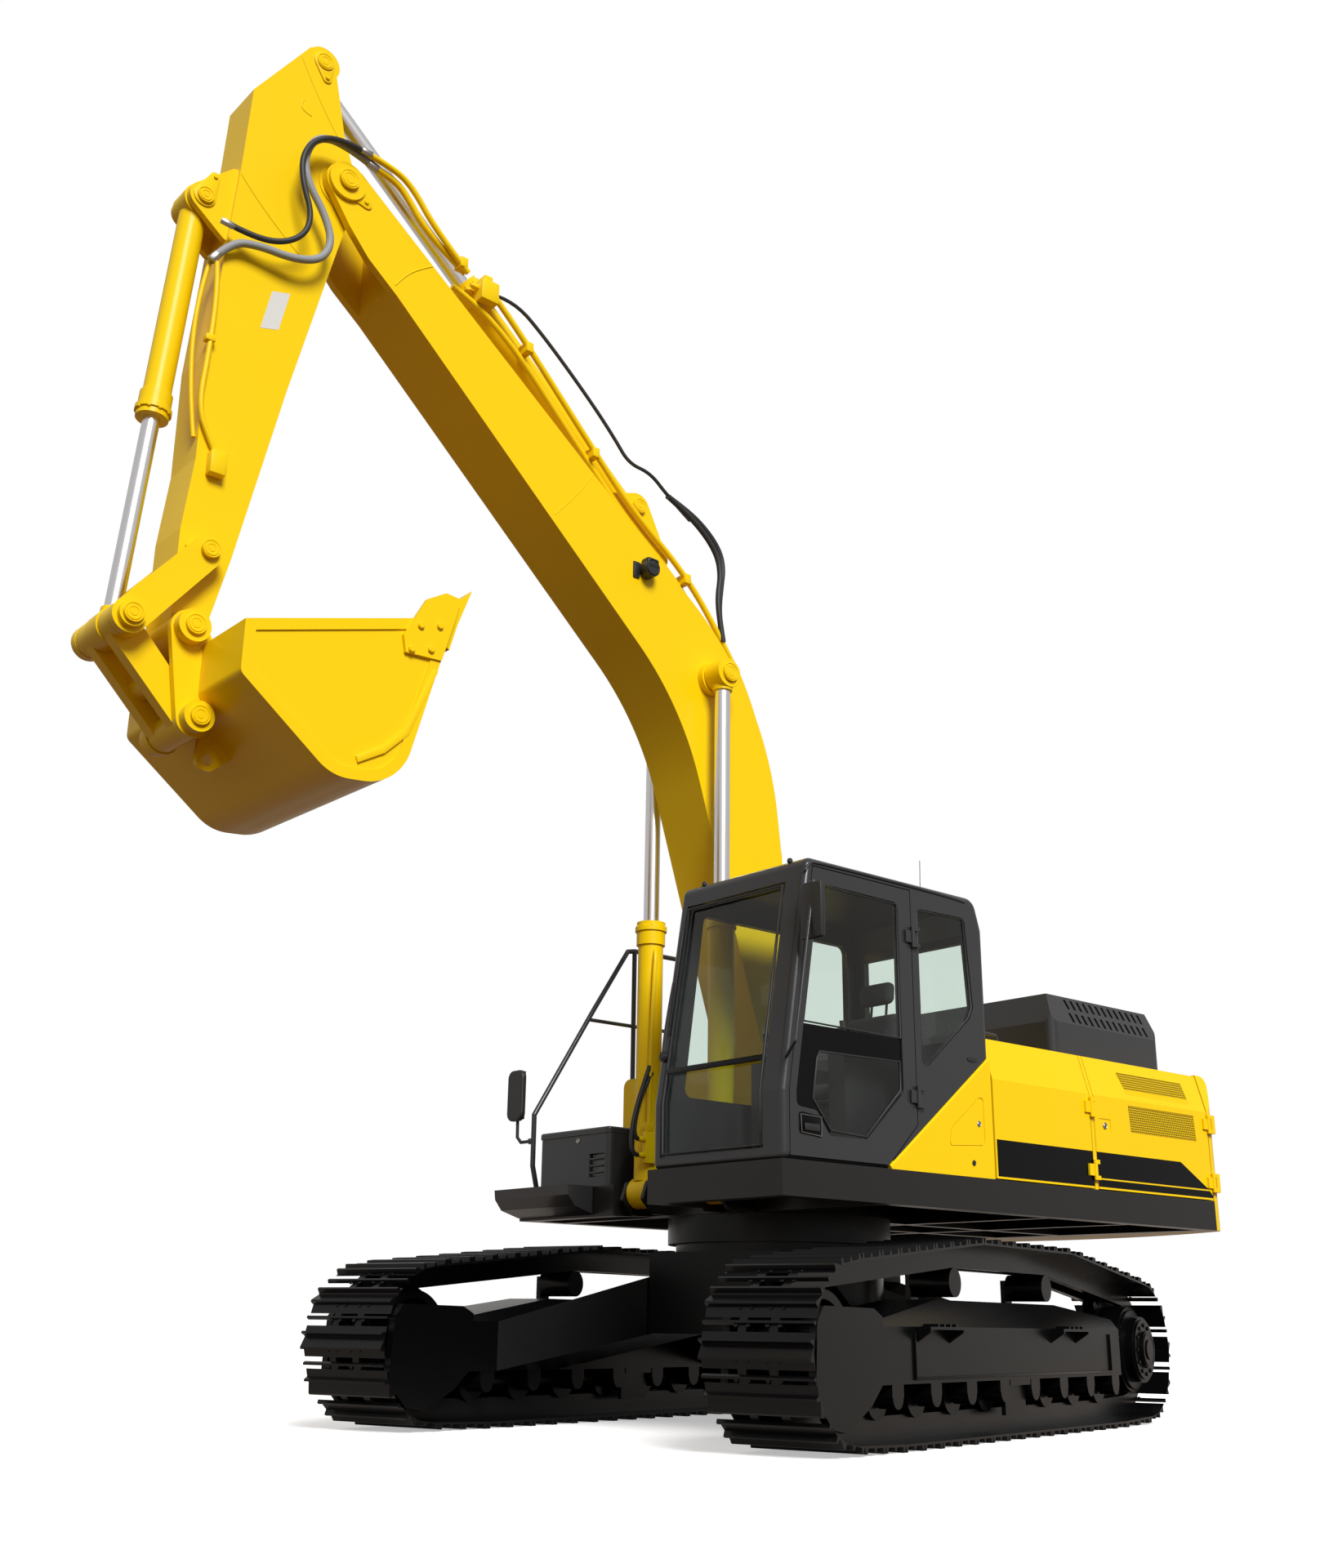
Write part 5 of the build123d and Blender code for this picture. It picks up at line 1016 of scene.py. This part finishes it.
# %% Shoe bolts
VALLEYS = (0.28, 0.70)    # shares of the pitch
HEADS = (-118, -52, 52, 118)
bolt_places = []
for (x, z), run, out in SHOES:
    for side in (1, -1):
        for share in VALLEYS:
            face_x = x + run.x * CHAIN_PITCH * share + out.x * PIN_TO_SHOE
            face_z = z + run.y * CHAIN_PITCH * share + out.y * PIN_TO_SHOE
            axis = TRACK_PLACE.to_3x3() @ Vector((out.x, 0, out.y))
            for offset in HEADS:
                bolt_places.append(facing(on_track(face_x, side * GAUGE_HALF + offset, face_z), axis))
shoe_bolt = turned((0, 0, 0), UP, 0.013, 0.009, sides=6, bevel=0.001)
settle(repeated(shoe_bolt, bolt_places), "shoe_bolts", "undercarriage", "track_steel")
print("shoe bolts", len(bolt_places))

# %% Bolts of the final drives and the swing bearing
COVER_OUT = 300           # the cover's outer face, from the track's middle
BOLT_RINGS = [(185, 0.234, 20), (276, 0.150, 12)]
for side in (1, -1):
    outward = TRACK_PLACE.to_3x3() @ (side * OUT)
    cover = on_track(DRIVE_X, side * (GAUGE_HALF + COVER_OUT), WHEEL_Z)
    plate_cap = turned(cover - outward * 0.002, outward, 0.105, 0.008,
                       steps=((0.012, -0.003), (0.045, 0.004)))
    rims = []
    for offset, radius, count in BOLT_RINGS:
        rims += ring(on_track(DRIVE_X, side * (GAUGE_HALF + offset), WHEEL_Z), outward, radius, count)
    heads = repeated(bolt(0.013), rims)
    settle(joined([plate_cap, heads]), "drive_bolts_" + SIDE_NAMES[side], "undercarriage", "chassis_black")
bearing = ring(at(0, 0, 1050), UP, 0.665, 36)
settle(repeated(bolt(0.014), bearing), "bearing_bolts", "undercarriage", "chassis_black")

# %% Ledges of the side frames
LEDGE_IN, LEDGE_OUT = 1553, 1569
LEDGE = [(1330, 322, -1420, 336), (1330, 336, 1316, 548), (-1406, 336, -1420, 548)]
for side in (1, -1):
    bars = []
    for x0, z0, x1, z1 in LEDGE:
        low = Vector((x0, side * LEDGE_IN, z0)) / 1000
        high = Vector((x1, side * LEDGE_OUT, z1)) / 1000
        bars.append(block(low, high, 0.003))
    ledge = joined(bars)
    ledge.data.transform(TRACK_PLACE)
    settle(ledge, "frame_ledge_" + SIDE_NAMES[side], "undercarriage", "chassis_black")

# %% [markdown]
# ## The seat
# An operator's seat is foam under cloth: the cushion and the back swell between their seams, with a
# headrest above. The foam starts a little small, is remeshed fine, and Blender's cloth blows it up
# gently like stuffing would.

# %% Seat pads
PAD_SWELL = 0.016         # how far cloth may carry a point from its start
PAD_CELL = 0.012
CLOTH_FRAMES = 15


def pad(name, low, high, lean=0.0):
    """A stuffed pad between two corners: foam blown up as cloth, with every point held near its start."""
    piece = block(low, high, 0.035)
    foot = min(low[2], high[2])
    for vertex in piece.data.vertices:
        vertex.co.x -= (vertex.co.z - foot) * lean
    begin()
    piece.select_set(True)
    bpy.context.view_layer.objects.active = piece
    mesher = piece.modifiers.new("mesher", "REMESH")
    mesher.mode = "VOXEL"
    mesher.voxel_size = PAD_CELL
    bpy.ops.object.modifier_apply(modifier="mesher")
    start = [vertex.co.copy() for vertex in piece.data.vertices]
    stuffing = piece.modifiers.new("stuffing", "CLOTH")
    stuffing.settings.use_pressure = True
    stuffing.settings.uniform_pressure_force = 4
    stuffing.settings.effector_weights.gravity = 0
    for frame_number in range(1, CLOTH_FRAMES + 1):
        scene.frame_set(frame_number)
    bpy.ops.object.modifier_apply(modifier="stuffing")
    scene.frame_set(1)
    for vertex, old in zip(piece.data.vertices, start):
        move = vertex.co - old
        if move.length > PAD_SWELL:
            vertex.co = old + move * (PAD_SWELL / move.length)
    return piece


SEAT_MIDDLE = 969
cushion = pad("cushion", at(236, SEAT_MIDDLE - 212, 1796), at(606, SEAT_MIDDLE + 212, 1884))
bolsters = [pad("bolster", at(250, y - 34, 1816), at(590, y + 34, 1888)) for y in (SEAT_MIDDLE - 180,
                                                                                   SEAT_MIDDLE + 180)]
back = pad("back", at(112, SEAT_MIDDLE - 205, 1900), at(226, SEAT_MIDDLE + 205, 2350), 0.12)
headrest = pad("headrest", at(72, SEAT_MIDDLE - 125, 2402), at(150, SEAT_MIDDLE + 125, 2540), 0.12)
seat = settle(joined([cushion, *bolsters, back, headrest]), "stuffed_seat", "house", "seat_fabric", angle=60)
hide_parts("seat")
seams = []
for y in (SEAT_MIDDLE - 120, SEAT_MIDDLE + 120):
    seams.append(tube([at(610, y, 1842), at(440, y, 1899), at(260, y, 1897)], 0.003))
settle(joined(seams), "seat_seams", "house", "black_plastic", angle=60)
post = [block(at(150, SEAT_MIDDLE - 200, 1426), at(550, SEAT_MIDDLE + 200, 1776), 0.02),
        block(at(90, SEAT_MIDDLE - 226, 1779), at(600, SEAT_MIDDLE + 226, 1800), 0.006)]
post += [tube([at(96, y, 2330), at(84, y, 2420)], 0.008) for y in (SEAT_MIDDLE - 60, SEAT_MIDDLE + 60)]
settle(joined(post), "seat_base", "house", "black_plastic")
